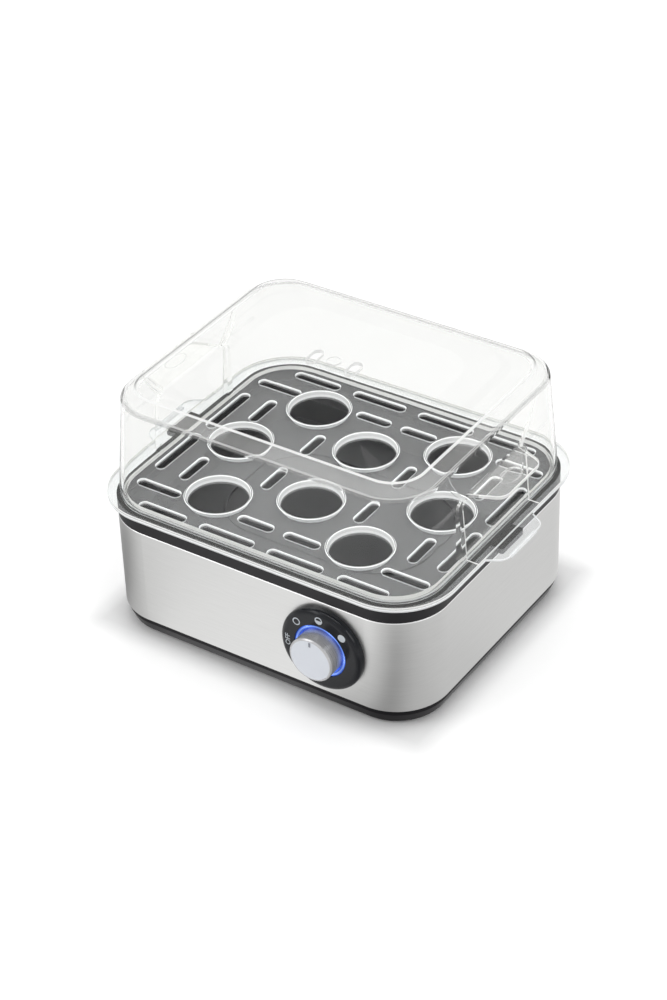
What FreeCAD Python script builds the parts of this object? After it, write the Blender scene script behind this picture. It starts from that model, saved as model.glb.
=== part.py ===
import FreeCAD, Part

import math
import os
from FreeCAD import Vector

# Countertop electric egg cooker for eight eggs.
# Millimetres. +X is the right side, +Y the back, +Z up. The front with the dial faces -Y.
# The pieces are drawn about the housing's own middle, and placed at the end so that the
# origin lies on the table under the middle of the whole outline, dial included.

os.makedirs("parts", exist_ok=True)

# ---------------------------------------------------------------- driving dimensions

# The housing's plan is a rounded rectangle, given as half width, half depth, corner radius.
HOUSING = (102.2, 86.3, 31.0)
FLANGE = (107.3, 90.4, 35.0)

# Heights above the table.
FEET_TOP = 2.0
BAND_BOTTOM = 10.7
BAND_TOP = 69.8
RIM_TOP = 80.0
TRAY_TOP = 81.5
LID_FLANGE_TOP = 83.0
GRIP_TOP = 120.7
SHOULDER_TOP = 141.5
CREASE_TOP = 146.9
CROWN_TOP = 155.4

# Lid plan at its foot, at its shoulder and at the crease under the crowned top.
LID_FOOT = (101.0, 84.5, 30.0)
LID_SHOULDER = (96.5, 79.8, 27.0)
LID_CREASE = (88.1, 71.2, 18.0)
LID_WALL = 2.0
SHOULDER_ROUND = 3.0
CREASE_ROUND = 2.5
VENT_X = 12.2
VENT_Y = -1.0
VENT_LENGTH = 13.0
VENT_WIDTH = 6.0
BOSS_RADIUS = 4.0

# Steel band.
STEEL = 0.8
BAND_LIP = 3.2
BAND_EDGE = 0.4

# Base cover.
BASE_TOP_INSET = 1.2
BASE_BOTTOM_INSET = 3.5
BASE_EDGE = 7.7
BASE_FLOOR = 4.5
BASE_CAVITY_INSET = 5.6
SPIGOT_INSET = 3.4
SPIGOT_TOP = 16.0
BASE_VENT_LENGTH = 34.0
BASE_VENT_WIDTH = 3.0
BASE_VENT_STEP = 9.0
BASE_VENT_X = 30.0
BASE_VENT_ROWS = 3

# Rubber feet.
FEET_PLACE = (74.0, 52.0)
FOOT_RADIUS = 8.0
FOOT_SUNK = 1.0
FOOT_TAPER = 0.8

# Long screws that clamp rim, band and base together, one in each corner.
POST_X = 85.9
POST_Y = 69.4
POST_JOINT = 28.0
POST_RADIUS = 4.5
TOWER_RADIUS = 5.0
SCREW_SEAT = 22.0
SCREW_LENGTH = 18.0
SCREW_SHANK = 1.5
SCREW_HEAD = 3.6
SCREW_HEAD_HEIGHT = 2.4

# Grommet for the mains lead in the back wall.
GROMMET_X = -58.0
GROMMET_Z = 26.0
GROMMET_NECK = 6.4
GROMMET_BORE = 3.6
GROMMET_FLANGE = 8.4

# Black rim over the band.
RIM_WALL = 2.5
SKIRT_BOTTOM = 60.5
SKIRT_OUTER = 1.2
SKIRT_INNER = 3.6
LEDGE_BOTTOM = 63.5
LEDGE_TOP = 66.0
LUG_HALF = 11.0
LUG_REACH = 109.5
LUG_HEIGHT = 3.0
LUG_EDGE = 1.5

# Water pan, its clips and what lies under it.
PAN_SEAT = 67.0
PAN_HOLE = (89.0, 73.0, 24.0)
PAN_SHEET = 1.2
PAN_FLOOR = 57.2
PAN_DISH = (64.0, 42.0, 32.0)
CLIP_X = 93.5
CLIP_Y = 30.0
CLIP_END_Y = 78.0
CLIP_SHEET = 1.0
CLIP_SCREW = 1.3
CLIP_HEAD = 2.5
SPREADER = (62.0, 40.0, 30.0)
SPREADER_THICKNESS = 2.5
PLATE_UNDERSIDE = PAN_FLOOR - PAN_SHEET - SPREADER_THICKNESS
ELEMENT_RADIUS = 3.3
ELEMENT_Z = PLATE_UNDERSIDE - ELEMENT_RADIUS
COLD_END_X = 11.0
COLD_END_Y = 50.0
TAB_END_Y = 60.0
SHIELD = (78.0, 56.0, 20.0)
SHIELD_HEIGHT = 30.0
SHIELD_SHEET = 0.8
SHIELD_DROP = 5.0
SHIELD_POSTS = (62.0, 42.0)
SHIELD_POST_RADIUS = 4.0
SHIELD_SCREW = 1.3
SHIELD_HEAD = 2.6

# Terminal block on the base's floor, and the leads.
BLOCK_X = (-66.0, -38.0)
BLOCK_Y = (52.0, 66.0)
BLOCK_HEIGHT = 11.0
TERMINAL_X = (-61.0, -52.0, -43.0)
TERMINAL_DEPTH = 4.0
WIRE_RADIUS = 1.3

# Egg tray.
TRAY_FLOOR = 2.4
TRAY_RECESS = 1.3
SEAT_RING = 20.0
SEAT_OUTER_LIP = 18.75
SEAT_INNER_LIP = 17.45
SEAT_HOLE = 16.6
SEAT_RISE = 2.3
SLOT_WIDTH = 5.8
SEAT_CENTRES = [(45.7, 49.0), (-45.7, 49.0), (-45.7, -49.0), (45.7, -49.0),
                (65.5, 0.0), (-65.5, 0.0), (0.0, 27.0), (0.0, -27.0)]

# Steam slots of one quarter of the tray: centre x, centre y, length, direction.
QUARTER_SLOTS = [(64.0, 75.0, 30.0, "x"), (21.8, 75.0, 34.0, "x"), (79.0, 58.0, 28.0, "x"),
                 (14.8, 58.0, 22.0, "x"), (91.0, 24.0, 38.0, "y"), (73.5, 33.0, 23.0, "y"),
                 (30.0, 19.0, 20.0, "y")]

# Small chamfer along the moulded edges of lid and tray.
MOULDED_EDGE = 0.4

# Side grips: wings on the lid, tabs on the tray.
GRIP_ROOT = 27.0
GRIP_END = 19.0
GRIP_CORNER = 8.0
GRIP_THICKNESS = 2.3
LID_GRIP_REACH = 115.3
TRAY_TAB_REACH = 116.5
TAB_LIP = 1.6
DIMPLE_X = 107.7
DIMPLE = (5.0, 9.0, 1.3)
POCKET_WALL = 96.6
POCKET_HALF = 32.0
POCKET_TOP_HALF = 44.0
POCKET_ROUND = 5.0
POCKET_FAN_BOW = 2.0
POCKET_EDGE = 0.6

# Rotary control on the front, left to right and up.
DIAL_X = 46.3
DIAL_Z = 41.1
DIAL_RADIUS = 25.0
DIAL_FACE_RADIUS = 22.0
DIAL_HOLE = 16.0
DIAL_NECK = 19.0
DIAL_FACE = -91.0
DIAL_EDGE_BACK = -88.4
DIAL_STEP = -87.6
KNOB_RADIUS = 13.2
KNOB_FRONT = -100.0
KNOB_BACK = -88.2
KNOB_CAP_RADIUS = 12.0
KNOB_CAP_DEPTH = 1.0
POINTER_THICKNESS = 0.2
LIGHT_FRONT = -90.4
LIGHT_BACK = -86.0
BOARD_FRONT = -83.6
BOARD_BACK = -82.0
BRACKET_BACK = -80.8
BRACKET_SHEET = 1.2
BRACKET_FLAT = 19.2
BRACKET_SCREW_CIRCLE = 23.0
BRACKET_SCREW = 1.2
BRACKET_SCREW_BITE = 2.8
CONTROL_RADIUS = 12.6
CONTROL_BACK = -64.0
BUSH_RADIUS = 4.5
BUSH_FRONT = -85.6
NUT_CORNER = 6.35
NUT_THICKNESS = 2.2
SHAFT_RADIUS = 3.0
SHAFT_FRONT = -97.0
SHAFT_FLAT_END = -88.9
SHAFT_FLAT_DEPTH = 1.2
RUNNING_GAP = 0.06
FRONT = -HOUSING[1]

# Middle of the whole outline, from the pointer on the dial to the flange's back edge.
OUTLINE_MIDDLE_Y = (KNOB_FRONT - POINTER_THICKNESS + FLANGE[1]) / 2

FRONT_TO_BACK = Vector(0, 1, 0)


# ---------------------------------------------------------------- shape helpers

def shrink(size, inset):
    """Rounded rectangle moved inward by inset all round."""
    return (size[0] - inset, size[1] - inset, size[2] - inset)


def outline(size, z):
    """Wire of a rounded rectangle about the origin, counterclockwise, at height z."""
    half_x, half_y, radius = size
    cut = radius * (1 - math.sqrt(0.5))
    edges = []
    start = None
    last = None
    for sign_x, sign_y in ((1, 1), (-1, 1), (-1, -1), (1, -1)):
        on_side = Vector(sign_x * half_x, sign_y * (half_y - radius), z)
        middle = Vector(sign_x * (half_x - cut), sign_y * (half_y - cut), z)
        on_end = Vector(sign_x * (half_x - radius), sign_y * half_y, z)
        first, final = (on_side, on_end) if sign_x * sign_y > 0 else (on_end, on_side)
        if last is None:
            start = first
        else:
            edges.append(Part.makeLine(last, first))
        edges.append(Part.Arc(first, middle, final).toShape())
        last = final
    edges.append(Part.makeLine(last, start))
    return Part.Wire(edges)


def slot_outline(length, width, z):
    """Wire of a slot along X with round ends, its length taken over the ends."""
    radius = width / 2
    half = length / 2 - radius
    right_low = Vector(half, -radius, z)
    right_high = Vector(half, radius, z)
    left_high = Vector(-half, radius, z)
    left_low = Vector(-half, -radius, z)
    return Part.Wire([Part.Arc(right_low, Vector(half + radius, 0, z), right_high).toShape(),
                      Part.makeLine(right_high, left_high),
                      Part.Arc(left_high, Vector(-half - radius, 0, z), left_low).toShape(),
                      Part.makeLine(left_low, right_low)])


def block(size, low, high):
    """Upright prism on a rounded rectangle."""
    return Part.Face(outline(size, low)).extrude(Vector(0, 0, high - low))


def level_edges(solid, z):
    """The edges of a solid that lie level at height z."""
    flat = 0.01
    return [edge for edge in solid.Edges
            if abs(edge.BoundBox.ZMin - z) < flat and abs(edge.BoundBox.ZMax - z) < flat]


def edged_block(size, low, high, edge):
    """Prism on a rounded rectangle, chamfered along its top and bottom."""
    solid = block(size, low, high)
    return solid.makeChamfer(edge, level_edges(solid, low) + level_edges(solid, high))


def ring(outer, inner, low, high):
    """Prism between two rounded rectangles."""
    return block(outer, low, high).cut(block(inner, low - 1, high + 1))


def stack(sections):
    """Solid through rounded rectangles at rising heights, with flat sides between them."""
    return Part.makeLoft([outline(size, z) for size, z in sections], True, True)


def cylinder(radius, low, high, x=0.0, y=0.0):
    """Upright cylinder."""
    return Part.makeCylinder(radius, high - low, Vector(x, y, low))


def rod(radius, front, back, x, z):
    """Cylinder that lies front to back."""
    return Part.makeCylinder(radius, back - front, Vector(x, front, z), FRONT_TO_BACK)


def box(x0, x1, y0, y1, z0, z1):
    """Box between two corners."""
    return Part.makeBox(x1 - x0, y1 - y0, z1 - z0, Vector(x0, y0, z0))


def turned(profile, x, z):
    """Solid turned about a front-to-back axis from (radius, y) points."""
    points = [Vector(x + radius, y, z) for radius, y in profile]
    face = Part.Face(Part.makePolygon(points + [points[0]]))
    return face.revolve(Vector(x, 0, z), FRONT_TO_BACK, 360)


def spun(profile, x, y):
    """Solid turned about an upright axis from (radius, z) points."""
    points = [Vector(x + radius, y, z) for radius, z in profile]
    face = Part.Face(Part.makePolygon(points + [points[0]]))
    return face.revolve(Vector(x, y, 0), Vector(0, 0, 1), 360)


def slot_tool(length, width, low, high, flare=0.0):
    """Cutter for an upright slot along X from low to high, its mouth flared at the top."""
    if not flare:
        return Part.Face(slot_outline(length, width, low)).extrude(Vector(0, 0, high - low))
    wide = (length + 2 * flare, width + 2 * flare)
    wires = [slot_outline(length, width, low), slot_outline(length, width, high - flare),
             slot_outline(*wide, high), slot_outline(*wide, high + 1)]
    return Part.makeLoft(wires, True, True)


def placed(solid, x, y, direction="x"):
    """A cutter moved to x, y and, for direction y, turned by a quarter first."""
    if direction == "y":
        solid.rotate(Vector(0, 0, 0), Vector(0, 0, 1), 90)
    solid.translate(Vector(x, y, 0))
    return solid


def four(x, y):
    """The four mirrored places of a point."""
    return [(x, y), (-x, y), (-x, -y), (x, -y)]


def joined(solids):
    """One solid fused from several that touch or overlap."""
    result = solids[0]
    for solid in solids[1:]:
        result = result.fuse(solid)
    return result.removeSplitter()


def mirrored(solid):
    """The left-hand twin of a right-hand solid."""
    return solid.mirror(Vector(0, 0, 0), Vector(1, 0, 0))


def screw_up(x, y, seat, length, shank, head, head_height):
    """Upright screw whose head bears against the height seat from below."""
    return joined([cylinder(shank, seat, seat + length, x, y),
                   cylinder(head, seat - head_height, seat, x, y)])


def screw_down(x, y, seat, length, shank, head, head_height):
    """Upright screw whose head bears on the height seat from above."""
    return joined([cylinder(shank, seat - length, seat, x, y),
                   cylinder(head, seat, seat + head_height, x, y)])


# ---------------------------------------------------------------- housing

def base_cover():
    """Black moulded base: sloped foot edge, ledge for the band, spigot, towers and vents."""
    outside = stack([(shrink(HOUSING, BASE_BOTTOM_INSET), FEET_TOP),
                     (shrink(HOUSING, BASE_TOP_INSET), BASE_EDGE),
                     (shrink(HOUSING, BASE_TOP_INSET), BAND_BOTTOM)])
    body = outside.fuse(block(shrink(HOUSING, SPIGOT_INSET), BAND_BOTTOM - 1, SPIGOT_TOP))
    body = body.cut(block(shrink(HOUSING, BASE_CAVITY_INSET), BASE_FLOOR, SPIGOT_TOP + 1))
    for x, y in four(POST_X, POST_Y):
        body = body.fuse(cylinder(TOWER_RADIUS, BASE_FLOOR - 1, POST_JOINT, x, y))
    for x, y in four(*SHIELD_POSTS):
        body = body.fuse(cylinder(SHIELD_POST_RADIUS, BASE_FLOOR - 1, SHIELD_HEIGHT, x, y))
    head_clearance = 0.5
    shank_clearance = 0.3
    for x, y in four(POST_X, POST_Y):
        body = body.cut(cylinder(SCREW_HEAD + head_clearance, 0, SCREW_SEAT, x, y))
        body = body.cut(cylinder(SCREW_SHANK + shank_clearance, 0, POST_JOINT + 1, x, y))
    pilot_depth = 8.0
    for x, y in four(*SHIELD_POSTS):
        body = body.cut(cylinder(SHIELD_SCREW, SHIELD_HEIGHT - pilot_depth, SHIELD_HEIGHT + 1,
                                 x, y))
    foot_clearance = 0.3
    for x, y in four(*FEET_PLACE):
        body = body.cut(cylinder(FOOT_RADIUS + foot_clearance, 0, FEET_TOP + FOOT_SUNK, x, y))
    for side in (-1, 1):
        for row in range(-BASE_VENT_ROWS, BASE_VENT_ROWS + 1):
            vent = slot_tool(BASE_VENT_LENGTH, BASE_VENT_WIDTH, 0, BASE_FLOOR + 1)
            body = body.cut(placed(vent, side * BASE_VENT_X, row * BASE_VENT_STEP))
    return body.removeSplitter()


def rubber_feet():
    """Four soft round feet glued into their recesses, slightly narrower at the table."""
    taper_height = 1.0
    feet = []
    for x, y in four(*FEET_PLACE):
        feet.append(spun([(0, 0), (FOOT_RADIUS - FOOT_TAPER, 0), (FOOT_RADIUS, taper_height),
                          (FOOT_RADIUS, FEET_TOP + FOOT_SUNK), (0, FEET_TOP + FOOT_SUNK)], x, y))
    return Part.makeCompound(feet)


def base_screws():
    """Long screws from below through the base towers into the rim's posts."""
    return Part.makeCompound([screw_up(x, y, SCREW_SEAT, SCREW_LENGTH, SCREW_SHANK, SCREW_HEAD,
                                       SCREW_HEAD_HEIGHT) for x, y in four(POST_X, POST_Y)])


def housing_band():
    """Brushed steel sleeve with a turned-in lower lip and openings for dial and cord."""
    sleeve = edged_block(HOUSING, BAND_BOTTOM, BAND_TOP, BAND_EDGE)
    sleeve = sleeve.cut(block(shrink(HOUSING, STEEL), BAND_BOTTOM - 1, BAND_TOP + 1))
    lip = ring(shrink(HOUSING, STEEL / 2), shrink(HOUSING, BAND_LIP),
               BAND_BOTTOM, BAND_BOTTOM + STEEL)
    band = sleeve.fuse(lip).removeSplitter()
    beyond = 4.0
    neck_clearance = 0.2
    screw_clearance = 0.4
    band = band.cut(rod(DIAL_NECK + neck_clearance, FRONT - beyond, FRONT + beyond,
                        DIAL_X, DIAL_Z))
    for x, z in bracket_screw_places():
        band = band.cut(rod(BRACKET_SCREW + screw_clearance, FRONT - beyond, FRONT + beyond,
                            x, z))
    return band.cut(rod(GROMMET_NECK, -FRONT - beyond, -FRONT + beyond, GROMMET_X, GROMMET_Z))


def cord_grommet():
    """Rubber grommet in the back wall, where the mains lead would enter."""
    back = HOUSING[1]
    inside = back - STEEL
    edge = 1.0
    profile = [(GROMMET_BORE, back + 2.6), (GROMMET_FLANGE - edge, back + 2.6),
               (GROMMET_FLANGE, back + 2.6 - edge), (GROMMET_FLANGE, back),
               (GROMMET_NECK, back), (GROMMET_NECK, inside), (GROMMET_FLANGE - 0.6, inside),
               (GROMMET_FLANGE - 0.6, inside - 2.0), (GROMMET_BORE, inside - 2.0)]
    return turned(profile, GROMMET_X, GROMMET_Z)


def rim_lug():
    """Right-hand lug of the rim, under the tray's tab."""
    lug = box(HOUSING[0] - 1, LUG_REACH, -LUG_HALF, LUG_HALF, RIM_TOP - LUG_HEIGHT, RIM_TOP)
    outer = [edge for edge in lug.Edges if abs(edge.CenterOfMass.x - LUG_REACH) < 0.01
             and abs(edge.Length - LUG_HEIGHT) < 0.01]
    return lug.makeFillet(LUG_EDGE, outer)


def top_rim():
    """Black rim over the band: skirt inside it, ledge for the pan, posts and side lugs."""
    wall = ring(HOUSING, shrink(HOUSING, RIM_WALL), BAND_TOP, RIM_TOP)
    skirt = ring(shrink(HOUSING, SKIRT_OUTER), shrink(HOUSING, SKIRT_INNER),
                 SKIRT_BOTTOM, BAND_TOP + 1.5)
    ledge = ring(shrink(HOUSING, 3.0), PAN_HOLE, LEDGE_BOTTOM, LEDGE_TOP)
    rim = joined([wall, skirt, ledge, rim_lug(), mirrored(rim_lug())])
    for x, y in four(POST_X, POST_Y):
        rim = rim.fuse(cylinder(POST_RADIUS, POST_JOINT, LEDGE_BOTTOM + 1, x, y))
    pilot_top = POST_JOINT + 16.0
    for x, y in four(POST_X, POST_Y):
        rim = rim.cut(cylinder(SCREW_SHANK, POST_JOINT - 1, pilot_top, x, y))
    for x, y in clip_places():
        rim = rim.cut(cylinder(CLIP_SCREW, LEDGE_BOTTOM - 1, LEDGE_TOP - 0.5, x, y))
    return rim.removeSplitter()


# ---------------------------------------------------------------- water pan and heater

def clip_places():
    """Places of the clips that hold the pan down to the rim's ledge."""
    return [(0.0, CLIP_END_Y), (0.0, -CLIP_END_Y)] + four(CLIP_X, CLIP_Y)


def clip_heading(x, y):
    """Direction, in degrees, that faces outward at a clip's place."""
    if abs(x) < 1:
        return 90 if y > 0 else -90
    return 0 if x > 0 else 180


def pan_gasket():
    """Silicone gasket between the pan's flange and the rim's ledge."""
    return ring(shrink(HOUSING, 4.8), shrink(PAN_HOLE, -1.0), LEDGE_TOP, PAN_SEAT)


def pan_form(inset, low, high):
    """Solid form of the pan's well between its floor and its flange, moved in by inset."""
    top_gap = 0.6
    foot_gap = 4.6
    return stack([(shrink(PAN_HOLE, foot_gap + inset), low),
                  (shrink(PAN_HOLE, top_gap + inset), high)])


def pan_outside():
    """Solid outer form of the pan below its flange."""
    return pan_form(0.0, PAN_FLOOR - PAN_SHEET, PAN_SEAT)


def heating_pan():
    """Drawn water pan: flange, sloping wall, floor and a raised ring around the hot area."""
    flange = block(shrink(HOUSING, 4.4), PAN_SEAT, PAN_SEAT + PAN_SHEET)
    pan = pan_outside().fuse(flange).cut(pan_form(PAN_SHEET, PAN_FLOOR, PAN_SEAT + PAN_SHEET))
    bead_width = 2.0
    bead_height = 1.0
    bead = ring(PAN_DISH, shrink(PAN_DISH, bead_width), PAN_FLOOR - 0.3, PAN_FLOOR + bead_height)
    return pan.fuse(bead).removeSplitter()


def pan_clips():
    """Steel clips screwed under the ledge, their inner ends spot-welded to the pan's wall."""
    half_width = 6.0
    inward = 8.0
    outward = 4.5
    strip = box(-inward, outward, -half_width, half_width,
                LEDGE_BOTTOM - CLIP_SHEET, LEDGE_BOTTOM)
    clips = []
    for x, y in clip_places():
        clip = strip.copy()
        clip.rotate(Vector(0, 0, 0), Vector(0, 0, 1), clip_heading(x, y))
        clip.translate(Vector(x, y, 0))
        clips.append(clip.cut(cylinder(CLIP_SCREW, 0, RIM_TOP, x, y)).cut(pan_outside()))
    return Part.makeCompound(clips)


def clip_screws():
    """Short screws through the clips into the ledge."""
    return Part.makeCompound([screw_up(x, y, LEDGE_BOTTOM - CLIP_SHEET, 2.8, CLIP_SCREW,
                                       CLIP_HEAD, 1.6) for x, y in clip_places()])


def heat_spreader():
    """Aluminium plate brazed under the pan's floor."""
    return block(SPREADER, PLATE_UNDERSIDE, PAN_FLOOR - PAN_SHEET)


def quarter_bend(start, end, centre):
    """Arc of a quarter turn between two points about a centre."""
    bisector = (start - centre) + (end - centre)
    middle = centre + bisector.normalize() * start.distanceToPoint(centre)
    return Part.Arc(start, middle, end).toShape()


def heating_element():
    """Tubular heater bent to an open loop, its two cold ends side by side at the back."""
    half_x = 44.0
    half_y = 27.0
    bend = 20.0
    end_bend = 8.0

    def point(x, y):
        return Vector(x, y, ELEMENT_Z)

    right = [Part.makeLine(point(COLD_END_X, COLD_END_Y), point(COLD_END_X, half_y + end_bend)),
             quarter_bend(point(COLD_END_X, half_y + end_bend),
                          point(COLD_END_X + end_bend, half_y),
                          point(COLD_END_X + end_bend, half_y + end_bend)),
             Part.makeLine(point(COLD_END_X + end_bend, half_y), point(half_x - bend, half_y)),
             quarter_bend(point(half_x - bend, half_y), point(half_x, half_y - bend),
                          point(half_x - bend, half_y - bend)),
             Part.makeLine(point(half_x, half_y - bend), point(half_x, bend - half_y)),
             quarter_bend(point(half_x, bend - half_y), point(half_x - bend, -half_y),
                          point(half_x - bend, bend - half_y))]
    left = [mirrored(edge) for edge in right]
    front = Part.makeLine(point(half_x - bend, -half_y), point(bend - half_x, -half_y))
    path = Part.Wire(Part.__sortEdges__(right + [front] + left))
    section = Part.Wire(Part.makeCircle(ELEMENT_RADIUS, point(COLD_END_X, COLD_END_Y),
                                        FRONT_TO_BACK))
    return path.makePipeShell([section], True, False)


def element_terminals():
    """Ceramic beads with flat tabs on the heater's cold ends."""
    bead_radius = 2.6
    bead_length = 3.0
    half_thickness = 0.4
    half_height = 2.4
    terminals = []
    for x in (-COLD_END_X, COLD_END_X):
        bead = rod(bead_radius, COLD_END_Y, COLD_END_Y + bead_length, x, ELEMENT_Z)
        tab = box(x - half_thickness, x + half_thickness, COLD_END_Y + bead_length - 0.5,
                  TAB_END_Y, ELEMENT_Z - half_height, ELEMENT_Z + half_height)
        terminals.append(joined([bead, tab]))
    return Part.makeCompound(terminals)


def thermostat():
    """Round bimetal thermostat pressed against the heat spreader, with two tabs."""
    top = PLATE_UNDERSIDE
    cap = cylinder(8.5, top - 3.0, top)
    body = cylinder(7.6, top - 10.0, top - 3.0)
    tabs = [box(side * 5.0 - 0.4, side * 5.0 + 0.4, -3.0, 3.0, top - 17.0, top - 9.5)
            for side in (-1, 1)]
    return joined([cap, body] + tabs)


def thermostat_bracket():
    """Sprung strap that holds the thermostat's cap against the plate."""
    top = PLATE_UNDERSIDE
    reach = 17.0
    half_width = 10.0
    sheet = 1.0
    strap = box(-reach, reach, -half_width, half_width, top - 4.0, top - 4.0 + sheet)
    right_foot = box(reach - sheet, reach, -half_width, half_width, top - 4.0, top)
    strap = joined([strap, right_foot, mirrored(right_foot)])
    return strap.cut(cylinder(7.7, top - 6.0, top - 2.5))


def thermal_fuse():
    """One-shot fuse in its sleeve, laid against the plate beside the thermostat."""
    radius = 2.2
    place_y = -15.0
    centre_z = PLATE_UNDERSIDE - radius
    along = Vector(1, 0, 0)
    sleeve = Part.makeCylinder(radius, 16.0, Vector(-8.0, place_y, centre_z), along)
    leads = Part.makeCylinder(0.6, 26.0, Vector(-13.0, place_y, centre_z), along)
    return joined([sleeve, leads])


def heat_shield():
    """Thin plate with turned-down edges that keeps the heat off the base."""
    skirt = ring(SHIELD, shrink(SHIELD, SHIELD_SHEET), SHIELD_HEIGHT - SHIELD_DROP, SHIELD_HEIGHT)
    plate = block(SHIELD, SHIELD_HEIGHT, SHIELD_HEIGHT + SHIELD_SHEET)
    shield = plate.fuse(skirt)
    for x, y in four(*SHIELD_POSTS):
        shield = shield.cut(cylinder(SHIELD_SCREW + 0.2, SHIELD_HEIGHT - 1, SHIELD_HEIGHT + 2,
                                     x, y))
    return shield.removeSplitter()


def shield_screws():
    """Screws that fix the heat shield to its posts."""
    return Part.makeCompound([screw_down(x, y, SHIELD_HEIGHT + SHIELD_SHEET, 8.0, SHIELD_SCREW,
                                         SHIELD_HEAD, 1.8) for x, y in four(*SHIELD_POSTS)])


# ---------------------------------------------------------------- wiring

def terminal_block():
    """Three-pole terminal block on the base's floor, behind the left foot."""
    top = BASE_FLOOR + BLOCK_HEIGHT
    middle_y = (BLOCK_Y[0] + BLOCK_Y[1]) / 2
    body = box(*BLOCK_X, *BLOCK_Y, BASE_FLOOR, top)
    for x in TERMINAL_X:
        body = body.cut(cylinder(2.2, top - TERMINAL_DEPTH, top + 1, x, middle_y))
    return body


def terminal_screws():
    """Clamp screws of the terminal block."""
    seat = BASE_FLOOR + BLOCK_HEIGHT - TERMINAL_DEPTH
    middle_y = (BLOCK_Y[0] + BLOCK_Y[1]) / 2
    return Part.makeCompound([cylinder(2.0, seat, seat + 2.5, x, middle_y) for x in TERMINAL_X])


def lead(points, bend):
    """Insulated wire of straight runs joined by round bends."""
    vectors = [Vector(*point) for point in points]
    edges = []
    start = vectors[0]
    for before, here, after in zip(vectors, vectors[1:], vectors[2:]):
        inward = (before - here).normalize()
        onward = (after - here).normalize()
        half_angle = inward.getAngle(onward) / 2
        reach = bend / math.tan(half_angle)
        arc_start = here + inward * reach
        arc_end = here + onward * reach
        bisector = (inward + onward).normalize()
        centre = here + bisector * (bend / math.sin(half_angle))
        edges.append(Part.makeLine(start, arc_start))
        edges.append(Part.Arc(arc_start, centre - bisector * bend, arc_end).toShape())
        start = arc_end
    edges.append(Part.makeLine(start, vectors[-1]))
    section = Part.Wire(Part.makeCircle(WIRE_RADIUS, vectors[0], vectors[1] - vectors[0]))
    return Part.Wire(edges).makePipeShell([section], True, False)


def inner_leads():
    """Leads: terminal block to the control, control to the heater, heater to the block."""
    bend = 6.0
    tight_bend = 2.6
    entry = BASE_FLOOR + 5.0
    tab_z = DIAL_Z - 6.0
    clear_z = 22.0
    to_control = lead([(-52.0, 52.0, entry), (-52.0, -66.0, entry), (36.0, -66.0, entry),
                       (36.0, -66.0, DIAL_Z - CONTROL_RADIUS)], bend)
    to_heater = lead([(56.0, -63.8, tab_z), (56.0, -58.0, tab_z), (82.0, -58.0, tab_z),
                      (82.0, 66.0, tab_z), (COLD_END_X, 66.0, tab_z),
                      (COLD_END_X, 66.0, ELEMENT_Z), (COLD_END_X, TAB_END_Y, ELEMENT_Z)],
                     tight_bend)
    to_block = lead([(-COLD_END_X, TAB_END_Y, ELEMENT_Z), (-COLD_END_X, 66.5, ELEMENT_Z),
                     (-COLD_END_X, 66.5, clear_z), (-43.0, 66.5, clear_z),
                     (-43.0, 72.0, clear_z), (-43.0, 72.0, entry), (-43.0, 66.0, entry)],
                    tight_bend)
    return Part.makeCompound([to_control, to_heater, to_block])


# ---------------------------------------------------------------- rotary control

def round_dial(radius, degrees):
    """Place (x, z) on a circle about the dial's axis."""
    angle = math.radians(degrees)
    return DIAL_X + radius * math.cos(angle), DIAL_Z + radius * math.sin(angle)


def bracket_screw_places():
    """Places (x, z) of the three screws behind the dial."""
    return [round_dial(BRACKET_SCREW_CIRCLE, degrees) for degrees in (20, 160, 270)]


def dial_bezel():
    """Black dial ring with a wide rounded edge and a neck through the steel band."""
    steps = 6
    wide = DIAL_RADIUS - DIAL_FACE_RADIUS
    deep = DIAL_FACE - DIAL_EDGE_BACK
    seat_radius = 17.0
    profile = [(DIAL_HOLE, DIAL_FACE), (DIAL_FACE_RADIUS, DIAL_FACE)]
    for step in range(1, steps + 1):
        angle = math.radians(90 * step / steps)
        profile.append((DIAL_FACE_RADIUS + wide * math.sin(angle),
                        DIAL_EDGE_BACK + deep * math.cos(angle)))
    profile += [(DIAL_RADIUS, FRONT), (DIAL_NECK, FRONT), (DIAL_NECK, BOARD_FRONT),
                (seat_radius, BOARD_FRONT), (seat_radius, DIAL_STEP), (DIAL_HOLE, DIAL_STEP)]
    bezel = turned(profile, DIAL_X, DIAL_Z)
    for x, z in bracket_screw_places():
        bezel = bezel.cut(rod(BRACKET_SCREW, FRONT - BRACKET_SCREW_BITE, FRONT + 1, x, z))
    return bezel


def light_ring():
    """Clear light guide: a raised ring on a disc that closes the dial behind the knob."""
    inner = 13.9
    outer = 15.8
    edge = 0.3
    bore = 4.8
    disc = 16.9
    profile = [(bore, DIAL_STEP), (inner, DIAL_STEP), (inner, LIGHT_FRONT + edge),
               (inner + edge, LIGHT_FRONT), (outer - edge, LIGHT_FRONT),
               (outer, LIGHT_FRONT + edge), (outer, DIAL_STEP), (disc, DIAL_STEP),
               (disc, LIGHT_BACK), (bore, LIGHT_BACK)]
    return turned(profile, DIAL_X, DIAL_Z)


def led_board():
    """Round circuit board behind the light guide."""
    bore = 7.5
    rim = 18.8
    profile = [(bore, BOARD_FRONT), (rim, BOARD_FRONT), (rim, BOARD_BACK), (bore, BOARD_BACK)]
    return turned(profile, DIAL_X, DIAL_Z)


def board_leds():
    """Blue light-emitting diodes set round the board under the light guide."""
    count = 6
    circle = 13.5
    half = 1.5
    height = 1.2
    leds = []
    for index in range(count):
        x, z = round_dial(circle, 360 * index / count)
        leds.append(box(x - half, x + half, BOARD_FRONT - height, BOARD_FRONT,
                        z - half, z + half))
    return Part.makeCompound(leds)


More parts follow.
